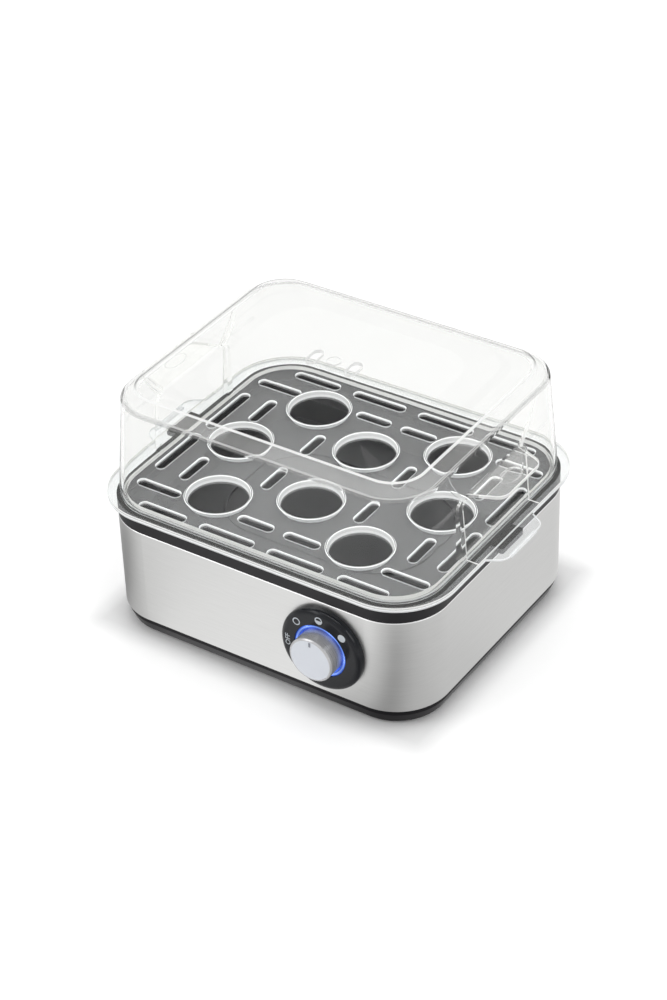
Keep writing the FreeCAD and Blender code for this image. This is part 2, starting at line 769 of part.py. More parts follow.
def control_bracket():
    """Deep-drawn steel cup that clamps the dial to the band and carries the control."""
    bore = BUSH_RADIUS + 0.2
    inner = DIAL_NECK + 0.3
    band_inside = FRONT + STEEL
    flange_back = band_inside + BRACKET_SHEET
    profile = [(bore, BOARD_BACK), (inner, BOARD_BACK), (inner, band_inside),
               (DIAL_RADIUS, band_inside), (DIAL_RADIUS, flange_back),
               (inner + BRACKET_SHEET, flange_back), (inner + BRACKET_SHEET, BRACKET_BACK),
               (bore, BRACKET_BACK)]
    cup = turned(profile, DIAL_X, DIAL_Z)
    flat = DIAL_Z + BRACKET_FLAT
    cup = cup.cut(box(0, HOUSING[0], FRONT - 5, FRONT + 20, flat, flat + 20))
    for x, z in bracket_screw_places():
        cup = cup.cut(rod(BRACKET_SCREW + 0.4, band_inside - 1, band_inside + 3, x, z))
    return cup


def bracket_screws():
    """Screws through bracket and band into the dial's back."""
    seat = FRONT + STEEL + BRACKET_SHEET
    screws = []
    for x, z in bracket_screw_places():
        shank = rod(BRACKET_SCREW, FRONT - BRACKET_SCREW_BITE, seat, x, z)
        head = rod(2.1, seat, seat + 1.6, x, z)
        screws.append(joined([shank, head]))
    return Part.makeCompound(screws)


def rotary_control():
    """Rotary power control: round case, threaded bush with the shaft's bore, three tabs."""
    bore = SHAFT_RADIUS + RUNNING_GAP
    bore_end = BRACKET_BACK + 2.0
    profile = [(bore, BUSH_FRONT), (BUSH_RADIUS, BUSH_FRONT), (BUSH_RADIUS, BRACKET_BACK),
               (CONTROL_RADIUS, BRACKET_BACK), (CONTROL_RADIUS, CONTROL_BACK),
               (0.0, CONTROL_BACK), (0.0, bore_end), (bore, bore_end)]
    case = turned(profile, DIAL_X, DIAL_Z)
    tab_half = 2.4
    tab_low = DIAL_Z - CONTROL_RADIUS - 6.0
    tabs = [box(DIAL_X + offset - tab_half, DIAL_X + offset + tab_half, -68.0, -67.2,
                tab_low, DIAL_Z - 10.0) for offset in (-6.0, 0.0, 6.0)]
    return joined([case] + tabs)


def control_nut():
    """Hexagon nut that holds the control to its bracket."""
    front = BOARD_BACK - NUT_THICKNESS
    corners = [round_dial(NUT_CORNER, 60 * index) for index in range(6)]
    points = [Vector(x, front, z) for x, z in corners]
    hexagon = Part.Face(Part.makePolygon(points + [points[0]])).extrude(
        Vector(0, NUT_THICKNESS, 0))
    return hexagon.cut(rod(BUSH_RADIUS, front - 1, BOARD_BACK + 1, DIAL_X, DIAL_Z))


def control_shaft():
    """Six-millimetre shaft of the control, with a flat for the knob."""
    shaft = rod(SHAFT_RADIUS, SHAFT_FRONT, BRACKET_BACK + 1.5, DIAL_X, DIAL_Z)
    flat_z = DIAL_Z + SHAFT_RADIUS - SHAFT_FLAT_DEPTH
    return shaft.cut(box(DIAL_X - 4, DIAL_X + 4, SHAFT_FRONT - 1, SHAFT_FLAT_END,
                         flat_z, flat_z + 4))


def knob_shell():
    """Metal knob: skirt with a fine chamfer, hollow back, hub with a flatted bore."""
    chamfer = 0.7
    inside = KNOB_RADIUS - 1.6
    hub = 5.6
    web = KNOB_FRONT + 3.4
    seat = KNOB_FRONT + KNOB_CAP_DEPTH
    profile = [(0.0, seat), (KNOB_CAP_RADIUS, seat), (KNOB_CAP_RADIUS, KNOB_FRONT),
               (KNOB_RADIUS - chamfer, KNOB_FRONT), (KNOB_RADIUS, KNOB_FRONT + chamfer),
               (KNOB_RADIUS, KNOB_BACK), (inside, KNOB_BACK), (inside, web), (hub, web),
               (hub, SHAFT_FLAT_END), (0.0, SHAFT_FLAT_END)]
    return turned(profile, DIAL_X, DIAL_Z).cut(control_shaft())


def knob_cap():
    """Pale disc let into the knob's face."""
    return rod(KNOB_CAP_RADIUS, KNOB_FRONT, KNOB_FRONT + KNOB_CAP_DEPTH, DIAL_X, DIAL_Z)


def knob_pointer():
    """Small raised mark that points at the chosen setting."""
    width = 1.1
    inner = 8.8
    outer = 11.4
    return box(DIAL_X - width / 2, DIAL_X + width / 2, KNOB_FRONT - POINTER_THICKNESS,
               KNOB_FRONT, DIAL_Z + inner, DIAL_Z + outer)


# ---------------------------------------------------------------- egg tray

def grip_plate(root_x, reach, low, high):
    """Right-hand grip: a plate that narrows outward, with round corners and eased edges."""
    points = [Vector(root_x, -GRIP_ROOT, low), Vector(reach, -GRIP_END, low),
              Vector(reach, GRIP_END, low), Vector(root_x, GRIP_ROOT, low)]
    plate = Part.Face(Part.makePolygon(points + [points[0]])).extrude(Vector(0, 0, high - low))
    corners = [edge for edge in plate.Edges
               if abs(edge.CenterOfMass.x - reach) < 0.01 and abs(edge.Length - high + low) < 0.01]
    plate = plate.makeFillet(GRIP_CORNER, corners)
    rims = [edge for edge in level_edges(plate, low) + level_edges(plate, high)
            if edge.CenterOfMass.x > root_x + 0.1]
    return plate.makeChamfer(MOULDED_EDGE, rims)


def tray_tab():
    """Right-hand tab of the tray, with a lip under its end for the fingers."""
    tab = grip_plate(FLANGE[0] - 4, TRAY_TAB_REACH, RIM_TOP, TRAY_TOP)
    lip_half = GRIP_END - 0.75 * GRIP_CORNER
    lip_depth = 1.5
    return tab.fuse(box(TRAY_TAB_REACH - TAB_LIP - MOULDED_EDGE, TRAY_TAB_REACH - MOULDED_EDGE,
                        -lip_half, lip_half, RIM_TOP - lip_depth, RIM_TOP + 0.5))


def seat_ring(x, y, floor_top):
    """Raised ring round an egg seat, with an eased lip."""
    top = floor_top + SEAT_RISE
    return spun([(0, floor_top - 1), (SEAT_RING, floor_top - 1), (SEAT_RING, floor_top),
                 (SEAT_OUTER_LIP, top - MOULDED_EDGE), (SEAT_OUTER_LIP - MOULDED_EDGE, top),
                 (0, top)], x, y)


def seat_hole(x, y, floor_low, floor_top):
    """Cutter for an egg seat: a slightly conical hole, wider at the lip."""
    top = floor_top + SEAT_RISE
    wide = SEAT_INNER_LIP + MOULDED_EDGE
    return spun([(0, floor_low - 1), (SEAT_HOLE, floor_low - 1), (SEAT_HOLE, floor_low),
                 (SEAT_INNER_LIP, top - MOULDED_EDGE), (wide, top), (wide, top + 1),
                 (0, top + 1)], x, y)


def egg_tray():
    """Clear tray: sunk floor with eight egg seats and steam slots, flange and side tabs."""
    floor_top = TRAY_TOP - TRAY_RECESS
    floor_low = floor_top - TRAY_FLOOR
    tray = block(shrink(HOUSING, 3.0), floor_low, RIM_TOP + 0.5)
    tray = tray.fuse(edged_block(FLANGE, RIM_TOP, TRAY_TOP, MOULDED_EDGE))
    tray = tray.cut(block(shrink(HOUSING, 4.0), floor_top, TRAY_TOP + 1))
    tray = tray.fuse(tray_tab()).fuse(mirrored(tray_tab()))
    for x, y in SEAT_CENTRES:
        tray = tray.fuse(seat_ring(x, y, floor_top))
    for x, y in SEAT_CENTRES:
        tray = tray.cut(seat_hole(x, y, floor_low, floor_top))
    for x, y, length, direction in QUARTER_SLOTS:
        for sign_x, sign_y in four(1, 1):
            slot = slot_tool(length, SLOT_WIDTH, floor_low - 1, floor_top, MOULDED_EDGE)
            tray = tray.cut(placed(slot, sign_x * x, sign_y * y, direction))
    return tray.removeSplitter()


# ---------------------------------------------------------------- lid

def lid_body(inset, drop):
    """Solid lid form: drafted wall, rounded shoulder, slope and crowned top, moved in by inset."""
    foot = LID_FLANGE_TOP - 1.5
    shoulder = SHOULDER_TOP - drop * 0.4
    crease = CREASE_TOP - drop
    wall = stack([(shrink(LID_FOOT, inset), foot), (shrink(LID_SHOULDER, inset), shoulder)])
    slope = stack([(shrink(LID_SHOULDER, inset), shoulder), (shrink(LID_CREASE, inset), crease)])
    crown = Part.makeLoft(crown_sections(shrink(LID_CREASE, inset), drop), True, False)
    body = joined([wall, slope, crown])
    body = body.makeFillet(SHOULDER_ROUND, level_edges(body, shoulder))
    return body.makeFillet(CREASE_ROUND, level_edges(body, crease))


def crown_sections(crease, drop):
    """Outlines of the domed top: rounder and higher towards the middle."""
    rise = CROWN_TOP - CREASE_TOP
    rounding = crease[2] / crease[1]
    full_round = 0.96
    sections = []
    for scale in (1.0, 0.8, 0.6, 0.4, 0.2, 0.05):
        half_x = crease[0] * scale
        half_y = crease[1] * scale
        radius = half_y * (rounding * scale + full_round * (1 - scale))
        sections.append(outline((half_x, half_y, radius),
                                CREASE_TOP - drop + rise * (1 - scale ** 2)))
    return sections


def pocket(wall_x, margin):
    """Right-hand side pocket of the lid: upright wall below the grip, fan shape above it."""
    foot = LID_FLANGE_TOP - 2
    under_grip = GRIP_TOP - GRIP_THICKNESS
    half = POCKET_HALF + margin
    root = half - POCKET_ROUND
    wide = POCKET_TOP_HALF + margin
    cut = POCKET_ROUND * (1 - math.sqrt(0.5))
    bow = Vector(0, SHOULDER_TOP - under_grip, root - wide).normalize() * POCKET_FAN_BOW
    fan_middle = (root + wide) / 2 + bow.y, (under_grip + SHOULDER_TOP) / 2 + bow.z

    def point(y, z):
        return Vector(wall_x, y, z)

    edges = [Part.makeLine(point(-half, foot), point(half, foot)),
             Part.makeLine(point(-wide, SHOULDER_TOP), point(wide, SHOULDER_TOP))]
    for side in (-1, 1):
        upright_end = point(side * half, under_grip - POCKET_ROUND)
        round_middle = point(side * (half - cut), under_grip - cut)
        round_end = point(side * root, under_grip)
        fan_end = point(side * wide, SHOULDER_TOP)
        edges.append(Part.makeLine(point(side * half, foot), upright_end))
        edges.append(Part.Arc(upright_end, round_middle, round_end).toShape())
        edges.append(Part.Arc(round_end, point(side * fan_middle[0], fan_middle[1]),
                              fan_end).toShape())
    face = Part.Face(Part.Wire(Part.__sortEdges__(edges)))
    reach = 20.0
    return face.extrude(Vector(reach, 0, 0))


def pocket_mouths(body):
    """Upright and round edges where the pockets' sides meet the lid's outer wall."""
    found = []
    for edge in body.Edges:
        extent = edge.BoundBox
        beside_grip = min(abs(extent.XMin), abs(extent.XMax)) > POCKET_WALL + 1
        if beside_grip and abs(edge.CenterOfMass.y) < POCKET_HALF + 0.1 and extent.ZLength > 1:
            found.append(edge)
    return found


def lid_grip():
    """Right-hand wing of the lid with an oval thumb dimple."""
    wing = grip_plate(POCKET_WALL - 1.0, LID_GRIP_REACH, GRIP_TOP - GRIP_THICKNESS, GRIP_TOP)
    dimple = Part.makeSphere(1.0, Vector(0, 0, 0))
    stretch = FreeCAD.Matrix()
    stretch.scale(Vector(*DIMPLE))
    dimple = dimple.transformGeometry(stretch)
    dimple.translate(Vector(DIMPLE_X, 0, GRIP_TOP + 0.2))
    return wing.cut(dimple)


def lid_shell():
    """Walls and top of the lid, hollow and open below, with a pocket on each side."""
    outside = lid_body(0.0, 0.0)
    inside = lid_body(LID_WALL, LID_WALL)
    outer_pocket = pocket(POCKET_WALL, 0.0)
    inner_pocket = pocket(POCKET_WALL - LID_WALL, LID_WALL)
    outside = outside.cut(outer_pocket).cut(mirrored(outer_pocket))
    outside = outside.makeFillet(POCKET_EDGE, pocket_mouths(outside))
    inside = inside.cut(inner_pocket).cut(mirrored(inner_pocket))
    return outside.cut(inside)


def lid():
    """Clear cover: flange, locating rib, drafted walls with pockets and wings, steam vents."""
    flange = edged_block(FLANGE, TRAY_TOP, LID_FLANGE_TOP, MOULDED_EDGE)
    flange = flange.cut(block(shrink(LID_FOOT, LID_WALL + 2.4), TRAY_TOP - 1, LID_FLANGE_TOP + 1))
    cover = lid_shell().fuse(flange)
    rib_outer = shrink(HOUSING, 4.3)
    rib_inner = shrink(HOUSING, 5.8)
    cover = cover.cut(block(rib_inner, 0, LID_FLANGE_TOP))
    cover = cover.fuse(ring(rib_outer, rib_inner, TRAY_TOP - 1.0, TRAY_TOP + 0.5))
    wing = lid_grip()
    cover = cover.fuse(wing).fuse(mirrored(wing))
    cover = cover.fuse(cylinder(BOSS_RADIUS, CROWN_TOP - 1.2, CROWN_TOP + 0.6, 0.0, VENT_Y))
    for x in (-VENT_X, VENT_X):
        vent = slot_tool(VENT_LENGTH, VENT_WIDTH, CREASE_TOP, CROWN_TOP + 5)
        cover = cover.cut(placed(vent, x, VENT_Y, "y"))
    return cover.removeSplitter()


# ---------------------------------------------------------------- all pieces

PIECES = [base_cover, rubber_feet, base_screws, housing_band, cord_grommet, top_rim, pan_gasket,
          heating_pan, pan_clips, clip_screws, heat_spreader, heating_element, element_terminals,
          thermostat, thermostat_bracket, thermal_fuse, heat_shield, shield_screws,
          terminal_block, terminal_screws, inner_leads, dial_bezel, light_ring, led_board,
          board_leds, control_bracket, bracket_screws, rotary_control, control_nut,
          control_shaft, knob_shell, knob_cap, knob_pointer, egg_tray, lid]

for piece in PIECES:
    shape = piece()
    shape.translate(Vector(0, -OUTLINE_MIDDLE_Y, 0))
    name = piece.__name__
    shape.exportStep("parts/" + name + ".step")
    extent = shape.BoundBox
    print(name, "solids", len(shape.Solids), "valid", shape.isValid(),
          "volume", round(shape.Volume), "z", round(extent.ZMin, 1), round(extent.ZMax, 1))
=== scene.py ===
# %% [markdown]
# # Countertop egg cooker
# This file dresses a packed construction of a countertop egg cooker. The frame holds every
# solid at its real size, in metres, with Z up and the dial facing -Y. The cells below place a
# camera, light a plain studio, give each piece its finish and add the dial's printed marks,
# which are too thin to be worth constructing.

import math

import bmesh
import bpy
from mathutils import Matrix, Vector


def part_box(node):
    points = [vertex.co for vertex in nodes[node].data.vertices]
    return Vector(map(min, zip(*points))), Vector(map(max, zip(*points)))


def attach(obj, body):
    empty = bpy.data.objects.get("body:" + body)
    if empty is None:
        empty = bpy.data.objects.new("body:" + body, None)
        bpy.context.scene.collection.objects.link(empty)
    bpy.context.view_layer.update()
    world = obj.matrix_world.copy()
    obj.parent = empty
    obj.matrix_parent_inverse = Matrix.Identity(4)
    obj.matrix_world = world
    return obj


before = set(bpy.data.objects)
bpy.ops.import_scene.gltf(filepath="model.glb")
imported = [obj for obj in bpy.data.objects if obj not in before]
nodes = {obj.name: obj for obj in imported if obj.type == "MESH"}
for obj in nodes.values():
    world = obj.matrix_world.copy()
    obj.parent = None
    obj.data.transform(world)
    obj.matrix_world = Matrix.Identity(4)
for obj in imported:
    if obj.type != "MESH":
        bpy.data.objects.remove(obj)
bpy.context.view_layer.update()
MM = 0.001

# %% [markdown]
# ## The places everything else hangs on
# The steel band is the housing's plain outer form, so its box gives the housing's middle, its
# width and depth, and the height of its top edge. The boxes of the light guide and the dial
# ring give the axis that the knob turns on and the face that carries the marks. Reading these
# from the frame, rather than typing them, keeps every new piece on what carries it.

# %% Read the reference places
band_low, band_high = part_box("housing_band")
guide_low, guide_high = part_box("light_ring")
bezel_low, bezel_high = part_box("dial_bezel")
housing_middle = (band_low + band_high) / 2
dial_axis = (guide_low + guide_high) / 2
dial_face = bezel_low.y
print("housing middle y:", round(housing_middle.y / MM, 2),
      "dial axis x, z:", round(dial_axis.x / MM, 2), round(dial_axis.z / MM, 2),
      "dial depth:", round((bezel_high.y - dial_face) / MM, 2))

# %% [markdown]
# ## Camera
# A long lens from about 1.4 m keeps the housing's edges nearly parallel, as a catalogue picture
# does. The camera stands to the right, about 35 degrees round from the front, and looks down
# by about 35 degrees. It is turned by two degrees about its own line of sight. Building the
# rotation from an azimuth, an elevation and a roll is easier to read than three Euler angles.

# %% Place the camera
AZIMUTH = math.radians(34.71)
ELEVATION = math.radians(35.39)
ROLL = math.radians(-2.17)
DISTANCE = 1400.8 * MM
LENS = 92.06
SENSOR_WIDTH = 36.0
SEES_TO = 20.0
LOOK_HEIGHT = 54.57 * MM
LOOK_RIGHT = -3.56 * MM

back = Vector((math.sin(AZIMUTH) * math.cos(ELEVATION),
               -math.cos(AZIMUTH) * math.cos(ELEVATION),
               math.sin(ELEVATION)))
level_right = Vector((math.cos(AZIMUTH), math.sin(AZIMUTH), 0.0))
level_up = back.cross(level_right)
right = level_right * math.cos(ROLL) + level_up * math.sin(ROLL)
up = back.cross(right)
look_at = Vector((0.0, housing_middle.y, band_low.z + LOOK_HEIGHT)) + right * LOOK_RIGHT

camera_data = bpy.data.cameras.new("studio_camera")
camera_data.lens = LENS
camera_data.sensor_width = SENSOR_WIDTH
camera_data.clip_end = SEES_TO
camera = bpy.data.objects.new("studio_camera", camera_data)
bpy.context.scene.collection.objects.link(camera)
turn = Matrix((right, up, back)).transposed()
camera.matrix_world = Matrix.Translation(look_at + back * DISTANCE) @ turn.to_4x4()
bpy.context.scene.camera = camera
print("camera at", [round(value, 3) for value in camera.location])

# %% [markdown]
# ## Small tools for node trees
# A finish is a small graph of nodes. A few helpers keep the graphs below short to read: one adds
# a node and sets its properties, two do sums on numbers and on vectors, one rescales a value
# between limits, one goes a share of the way between two values, one looks a value up in a ramp
# and one mixes two shaders. Each takes sockets or plain numbers.

# %% Node helpers
VECTOR_TO_NUMBER = ("LENGTH", "DISTANCE", "DOT_PRODUCT")


def add(tree, kind, **settings):
    """A new node of a kind, with its properties set."""
    node = tree.nodes.new("ShaderNode" + kind)
    for name, value in settings.items():
        setattr(node, name, value)
    return node


def feed(tree, socket, value):
    """Gives an input socket a number, a colour or another node's output."""
    if isinstance(value, bpy.types.NodeSocket):
        tree.links.new(value, socket)
    else:
        socket.default_value = value


def calc(tree, operation, *values):
    """The result of a sum on sockets or numbers."""
    node = add(tree, "Math", operation=operation)
    for socket, value in zip(node.inputs, values):
        feed(tree, socket, value)
    return node.outputs[0]


def vector_calc(tree, operation, *values):
    """The result of a sum on vectors, which for some operations is a number."""
    node = add(tree, "VectorMath", operation=operation)
    for socket, value in zip(node.inputs, values):
        feed(tree, socket, value)
    return node.outputs["Value" if operation in VECTOR_TO_NUMBER else "Vector"]


def split_vector(tree, vector):
    """The three parts of a vector, by the names X, Y and Z."""
    split = add(tree, "SeparateXYZ")
    tree.links.new(vector, split.inputs[0])
    return split.outputs


def rescale(tree, value, limits, results, ease="LINEAR"):
    """Maps a value from one pair of limits to another pair."""
    node = add(tree, "MapRange", interpolation_type=ease)
    settings = {"Value": value, "From Min": limits[0], "From Max": limits[1],
                "To Min": results[0], "To Max": results[1]}
    for name, given in settings.items():
        feed(tree, node.inputs[name], given)
    return node.outputs[0]


def blend(tree, share, first, second):
    """The value that lies a share of the way from the first to the second."""
    return rescale(tree, share, (0.0, 1.0), (first, second))


def level_ramp(tree, value, stops, ease="LINEAR"):
    """A value looked up in a list of (position, level) stops, the first at 0, the last at 1."""
    ramp = add(tree, "ValToRGB")
    ramp.color_ramp.interpolation = ease
    elements = ramp.color_ramp.elements
    for position, level in stops[1:-1]:
        elements.new(position)
    for element, (position, level) in zip(elements, stops):
        element.color = (level, level, level, 1.0)
    feed(tree, ramp.inputs["Fac"], value)
    return ramp.outputs["Color"]


def mix(tree, share, first, second):
    """Two shaders mixed; a share of one shows only the second."""
    node = add(tree, "MixShader")
    feed(tree, node.inputs["Fac"], share)
    tree.links.new(first.outputs[0], node.inputs[1])
    tree.links.new(second.outputs[0], node.inputs[2])
    return node


# %% [markdown]
# ## The room that the gloss shows
# Steel and clear plastic show the room more than they show themselves. A studio is brightest
# where the big lamp stands, a little left of the front, and darkest beside the camera and at the
# far left, so a rounded steel corner is darker than the flat walls next to it. A ramp over the
# compass angle says how bright each side is: zero degrees is the front and 90 is the right. Both
# the floor and the world read it for rays that come off gloss. The world gives it as light; on
# the floor it is painted reflection, a shade that only gloss sees on the paper.

# %% How bright the room is on each side
ROOM_SIDES = ((-180, 0.85), (-90, 0.50), (-62, 0.28), (-46, 0.60), (-34, 0.94), (-10, 0.98),
              (14, 1.0), (30, 0.62), (42, 0.34), (56, 0.58), (75, 0.70), (110, 0.82),
              (180, 0.85))


def room_shade(tree, direction):
    """Brightness of the room in a direction, from the ramp over the compass."""
    parts = split_vector(tree, direction)
    to_front = calc(tree, "MULTIPLY", parts["Y"], -1.0)
    angle = calc(tree, "ARCTAN2", parts["X"], to_front)
    around = rescale(tree, angle, (-math.pi, math.pi), (0.0, 1.0))
    stops = [(0.5 + degrees / 360, level) for degrees, level in ROOM_SIDES]
    return level_ramp(tree, around, stops, "EASE")


# %% [markdown]
# ## Which rays see what
# Light Path tells rays apart by how they came. Camera rays see paper and sky as white as a
# catalogue picture shows them, and rays through clear plastic see at least part of that white,
# or the plastic would look grey. Rays that come off gloss see the room. All other rays only
# carry light about, and they see the paper as the lamps light it, under a dimmer sky.

# %% Ray helpers


def background_rays(tree, behind_clear=1.0):
    """One for camera rays, and a share of one for rays through clear plastic."""
    path = add(tree, "LightPath")
    behind = calc(tree, "MULTIPLY", path.outputs["Is Transmission Ray"], behind_clear)
    return calc(tree, "MAXIMUM", path.outputs["Is Camera Ray"], behind)


def mirrored_rays(tree):
    """One for rays that came off gloss; those bent through clear plastic don't count."""
    path = add(tree, "LightPath")
    straight = calc(tree, "SUBTRACT", 1.0, path.outputs["Is Transmission Ray"])
    return calc(tree, "MULTIPLY", path.outputs["Is Glossy Ray"], straight)


# %% [markdown]
# ## Floor
# The cooker stands on a wide white sweep of paper, so wide that its edge stays out of sight.
# One flat square is enough for that.

# %% Make the floor
FLOOR_SIZE = 6.0

floor_mesh = bpy.data.meshes.new("floor")
floor = bpy.data.objects.new("floor", floor_mesh)
bpy.context.scene.collection.objects.link(floor)
build = bmesh.new()
bmesh.ops.create_grid(build, x_segments=1, y_segments=1, size=FLOOR_SIZE / 2)
build.to_mesh(floor_mesh)
build.free()
print("floor:", FLOOR_SIZE, "m square")

# %% [markdown]
# ## The floor's paper
# Lamps alone leave white paper light grey, so the paper shows a little light of its own, which
# lights nothing else. There is almost none close to the base, a steady share from a finger's
# width out, and full white far out, where the floor meets the sky. So the glow paints the soft
# shadow darkest close to the base, as painted shadow on top of the one the lamps cast. The
# distance is measured from the housing's outline, so the painted shadow keeps its shape. Gloss
# sees a painted reflection in its place: the room's brightness in that direction. That painted
# shade fades out with distance, because the steel mirrors only the floor close by, and the clear
# lid mirrors the white further out.

# %% Give the floor its paper
FLOOR_COLOUR = (0.92, 0.92, 0.92, 1.0)
SHADOW_LIFT = 0.03
SHADOW_REACH = 13 * MM
FLOOR_LIFT = 0.25
FAR_LIFT = 1.0
FAR_REACH = (0.35, 1.3)
LIFT_BEHIND_CLEAR = 0.6
ROOM_LEVEL = 1.12
SHADED_REACH = (0.19, 0.26)

floor_paper = bpy.data.materials.new("floor_paper")
floor_paper.use_nodes = True
tree = floor_paper.node_tree
tree.nodes.clear()
spot = add(tree, "TexCoord").outputs["Object"]

aside = vector_calc(tree, "ABSOLUTE",
                    vector_calc(tree, "SUBTRACT", spot, (0.0, housing_middle.y, 0.0)))
past_outline = vector_calc(tree, "SUBTRACT", aside, (band_high - band_low) / 2)
gap = vector_calc(tree, "LENGTH", vector_calc(tree, "MAXIMUM", past_outline, (0.0, 0.0, 0.0)))
# Painted shadow: the paper's own glow fades out close to the housing's outline.
near_lift = rescale(tree, gap, (0.0, SHADOW_REACH), (SHADOW_LIFT, FLOOR_LIFT))
far_lift = rescale(tree, gap, FAR_REACH, (0.0, FAR_LIFT))
lift = calc(tree, "MAXIMUM", near_lift, far_lift)

paper = add(tree, "BsdfDiffuse")
paper.inputs["Color"].default_value = FLOOR_COLOUR
glow = add(tree, "Emission")
feed(tree, glow.inputs["Strength"],
     calc(tree, "MULTIPLY", lift, background_rays(tree, LIFT_BEHIND_CLEAR)))
lit_paper = add(tree, "AddShader")
tree.links.new(paper.outputs[0], lit_paper.inputs[0])
tree.links.new(glow.outputs[0], lit_paper.inputs[1])

# Painted reflection: rays off gloss see the room's shade on the paper, fading to white far out.
far_out = rescale(tree, vector_calc(tree, "LENGTH", spot), SHADED_REACH, (0.0, 1.0), "SMOOTHSTEP")
shade = calc(tree, "MULTIPLY", room_shade(tree, spot), ROOM_LEVEL)
painted_room_reflection = add(tree, "Emission")
feed(tree, painted_room_reflection.inputs["Strength"], blend(tree, far_out, shade, 1.0))

surface = add(tree, "OutputMaterial")
seen_floor = mix(tree, mirrored_rays(tree), lit_paper, painted_room_reflection)
tree.links.new(seen_floor.outputs[0], surface.inputs["Surface"])
floor_mesh.materials.append(floor_paper)
print("paper nodes:", len(tree.nodes))

# %% [markdown]
# ## Studio light
# The world gives even light from all round. The camera sees it pure white, gloss sees the room,
# and everything else is lit by it at a lower level, which leaves the lamps their share: a wide
# softbox overhead, a key at the front left and a weaker fill at the right. The sky's colour is
# white, so its strength alone says how bright it is. The Standard view keeps that white white.

# %% Light the studio
WORLD_LIGHT = 0.576
ROOM_LIGHT = (0.64, 0.80)

bpy.context.scene.view_settings.view_transform = "Standard"
world = bpy.data.worlds.new("studio_world")
bpy.context.scene.world = world
world.use_nodes = True
tree = world.node_tree
tree.nodes.clear()
shade = room_shade(tree, add(tree, "TexCoord").outputs["Generated"])
room = blend(tree, shade, *ROOM_LIGHT)
seen = blend(tree, background_rays(tree), WORLD_LIGHT, 1.0)
sky = add(tree, "Background")
sky.inputs["Color"].default_value = (1.0, 1.0, 1.0, 1.0)
feed(tree, sky.inputs["Strength"], blend(tree, mirrored_rays(tree), seen, room))
surface = add(tree, "OutputWorld")
tree.links.new(sky.outputs[0], surface.inputs["Surface"])


def softbox(name, place, side, power):
    """A square area lamp that faces the cooker, its place and side in metres."""
    data = bpy.data.lights.new(name, "AREA")
    data.shape = "SQUARE"
    data.size = side
    data.energy = power
    lamp = bpy.data.objects.new(name, data)
    bpy.context.scene.collection.objects.link(lamp)
    lamp.location = place
    lamp.rotation_mode = "QUATERNION"
    lamp.rotation_quaternion = (housing_middle - Vector(place)).to_track_quat("-Z", "Y")
    print(name, "power:", power)


softbox("overhead_softbox", place=(0.0, 0.2, 1.6), side=1.4, power=9.0)
softbox("key_softbox", place=(-1.1, -1.3, 1.1), side=0.9, power=6.0)
softbox("fill_softbox", place=(1.5, -0.2, 0.9), side=0.8, power=4.0)

# %% [markdown]
# ## Small tools for finishes
# Every finish here starts from one Principled shader, whose plain numbers sit on its own
# sockets. Patterns read Object coordinates, which stay fixed to a piece when it moves. The
# helpers make the parts that come back: a noise, a spread of gloss, a bump and a colour between
# two shades.

# %% Finish helpers


def new_finish(name, colour, roughness, metallic=0.0):
    """A material with one Principled shader; returns the material, its tree and the shader."""
    material = bpy.data.materials.new(name)
    material.use_nodes = True
    shader = material.node_tree.nodes["Principled BSDF"]
    shader.inputs["Base Color"].default_value = (*colour, 1.0)
    shader.inputs["Roughness"].default_value = roughness
    shader.inputs["Metallic"].default_value = metallic
    return material, material.node_tree, shader


def object_noise(tree, scale, stretch=(1.0, 1.0, 1.0), detail=4.0):
    """Noise on Object coordinates; stretch squeezes it along an axis to draw streaks."""
    mapping = add(tree, "Mapping")
    mapping.inputs["Scale"].default_value = stretch
    tree.links.new(add(tree, "TexCoord").outputs["Object"], mapping.inputs["Vector"])
    noise = add(tree, "TexNoise")
    noise.inputs["Scale"].default_value = scale
    noise.inputs["Detail"].default_value = detail
    tree.links.new(mapping.outputs[0], noise.inputs["Vector"])
    return noise.outputs["Fac"]


def spread_gloss(tree, shader, source, roughness):
    """Spreads the shader's roughness between two limits by a value from zero to one."""
    feed(tree, shader.inputs["Roughness"], blend(tree, source, *roughness))


def rounded_normal(tree, radius):
    """The surface's normal as if its edges were rounded by a radius."""
    node = add(tree, "Bevel", samples=4)
    node.inputs["Radius"].default_value = radius
    return node.outputs[0]


def bump(tree, shader, source, distance, strength, radius=0.0, socket="Normal"):
    """Bumps the shader's normal by a height, on edges rounded by radius."""
    node = add(tree, "Bump")
    node.inputs["Distance"].default_value = distance
    node.inputs["Strength"].default_value = strength
    tree.links.new(source, node.inputs["Height"])
    if radius:
        tree.links.new(rounded_normal(tree, radius), node.inputs["Normal"])
    tree.links.new(node.outputs[0], shader.inputs[socket])


def tint(tree, shader, source, dark, light, socket="Base Color"):
    """Colours one of the shader's sockets between two shades by a value."""
    ramp = add(tree, "ValToRGB")
    ramp.color_ramp.elements[0].color = (*dark, 1.0)
    ramp.color_ramp.elements[1].color = (*light, 1.0)
    tree.links.new(source, ramp.inputs["Fac"])
    tree.links.new(ramp.outputs["Color"], shader.inputs[socket])


def finish_node(material, *names):
    """Gives CAD nodes a material in place of their plain one."""
    for name in names:
        mesh = nodes[name].data
        mesh.materials.clear()
        mesh.materials.append(material)
    print(material.name, "on:", ", ".join(names))


# %% [markdown]
# ## Brushed steel
# The band is stainless sheet brushed along its length before it is bent, so the scratches run
# level round all four sides. Real scratches would need millions of faces. Noise squeezed along
# Z and drawn out along X and Y gives the same level lines, as roughness and as a shallow bump.
# Anisotropy with a tangent round Z stretches highlights level, along the brushing. Real
# scratches stretch them across it, up and down, so here this differs from brushed metal. The
# top edge is folded in, and the fold catches the lamps as one bright line. That line is a
# painted highlight: the colour rises to near white within the last millimetre.

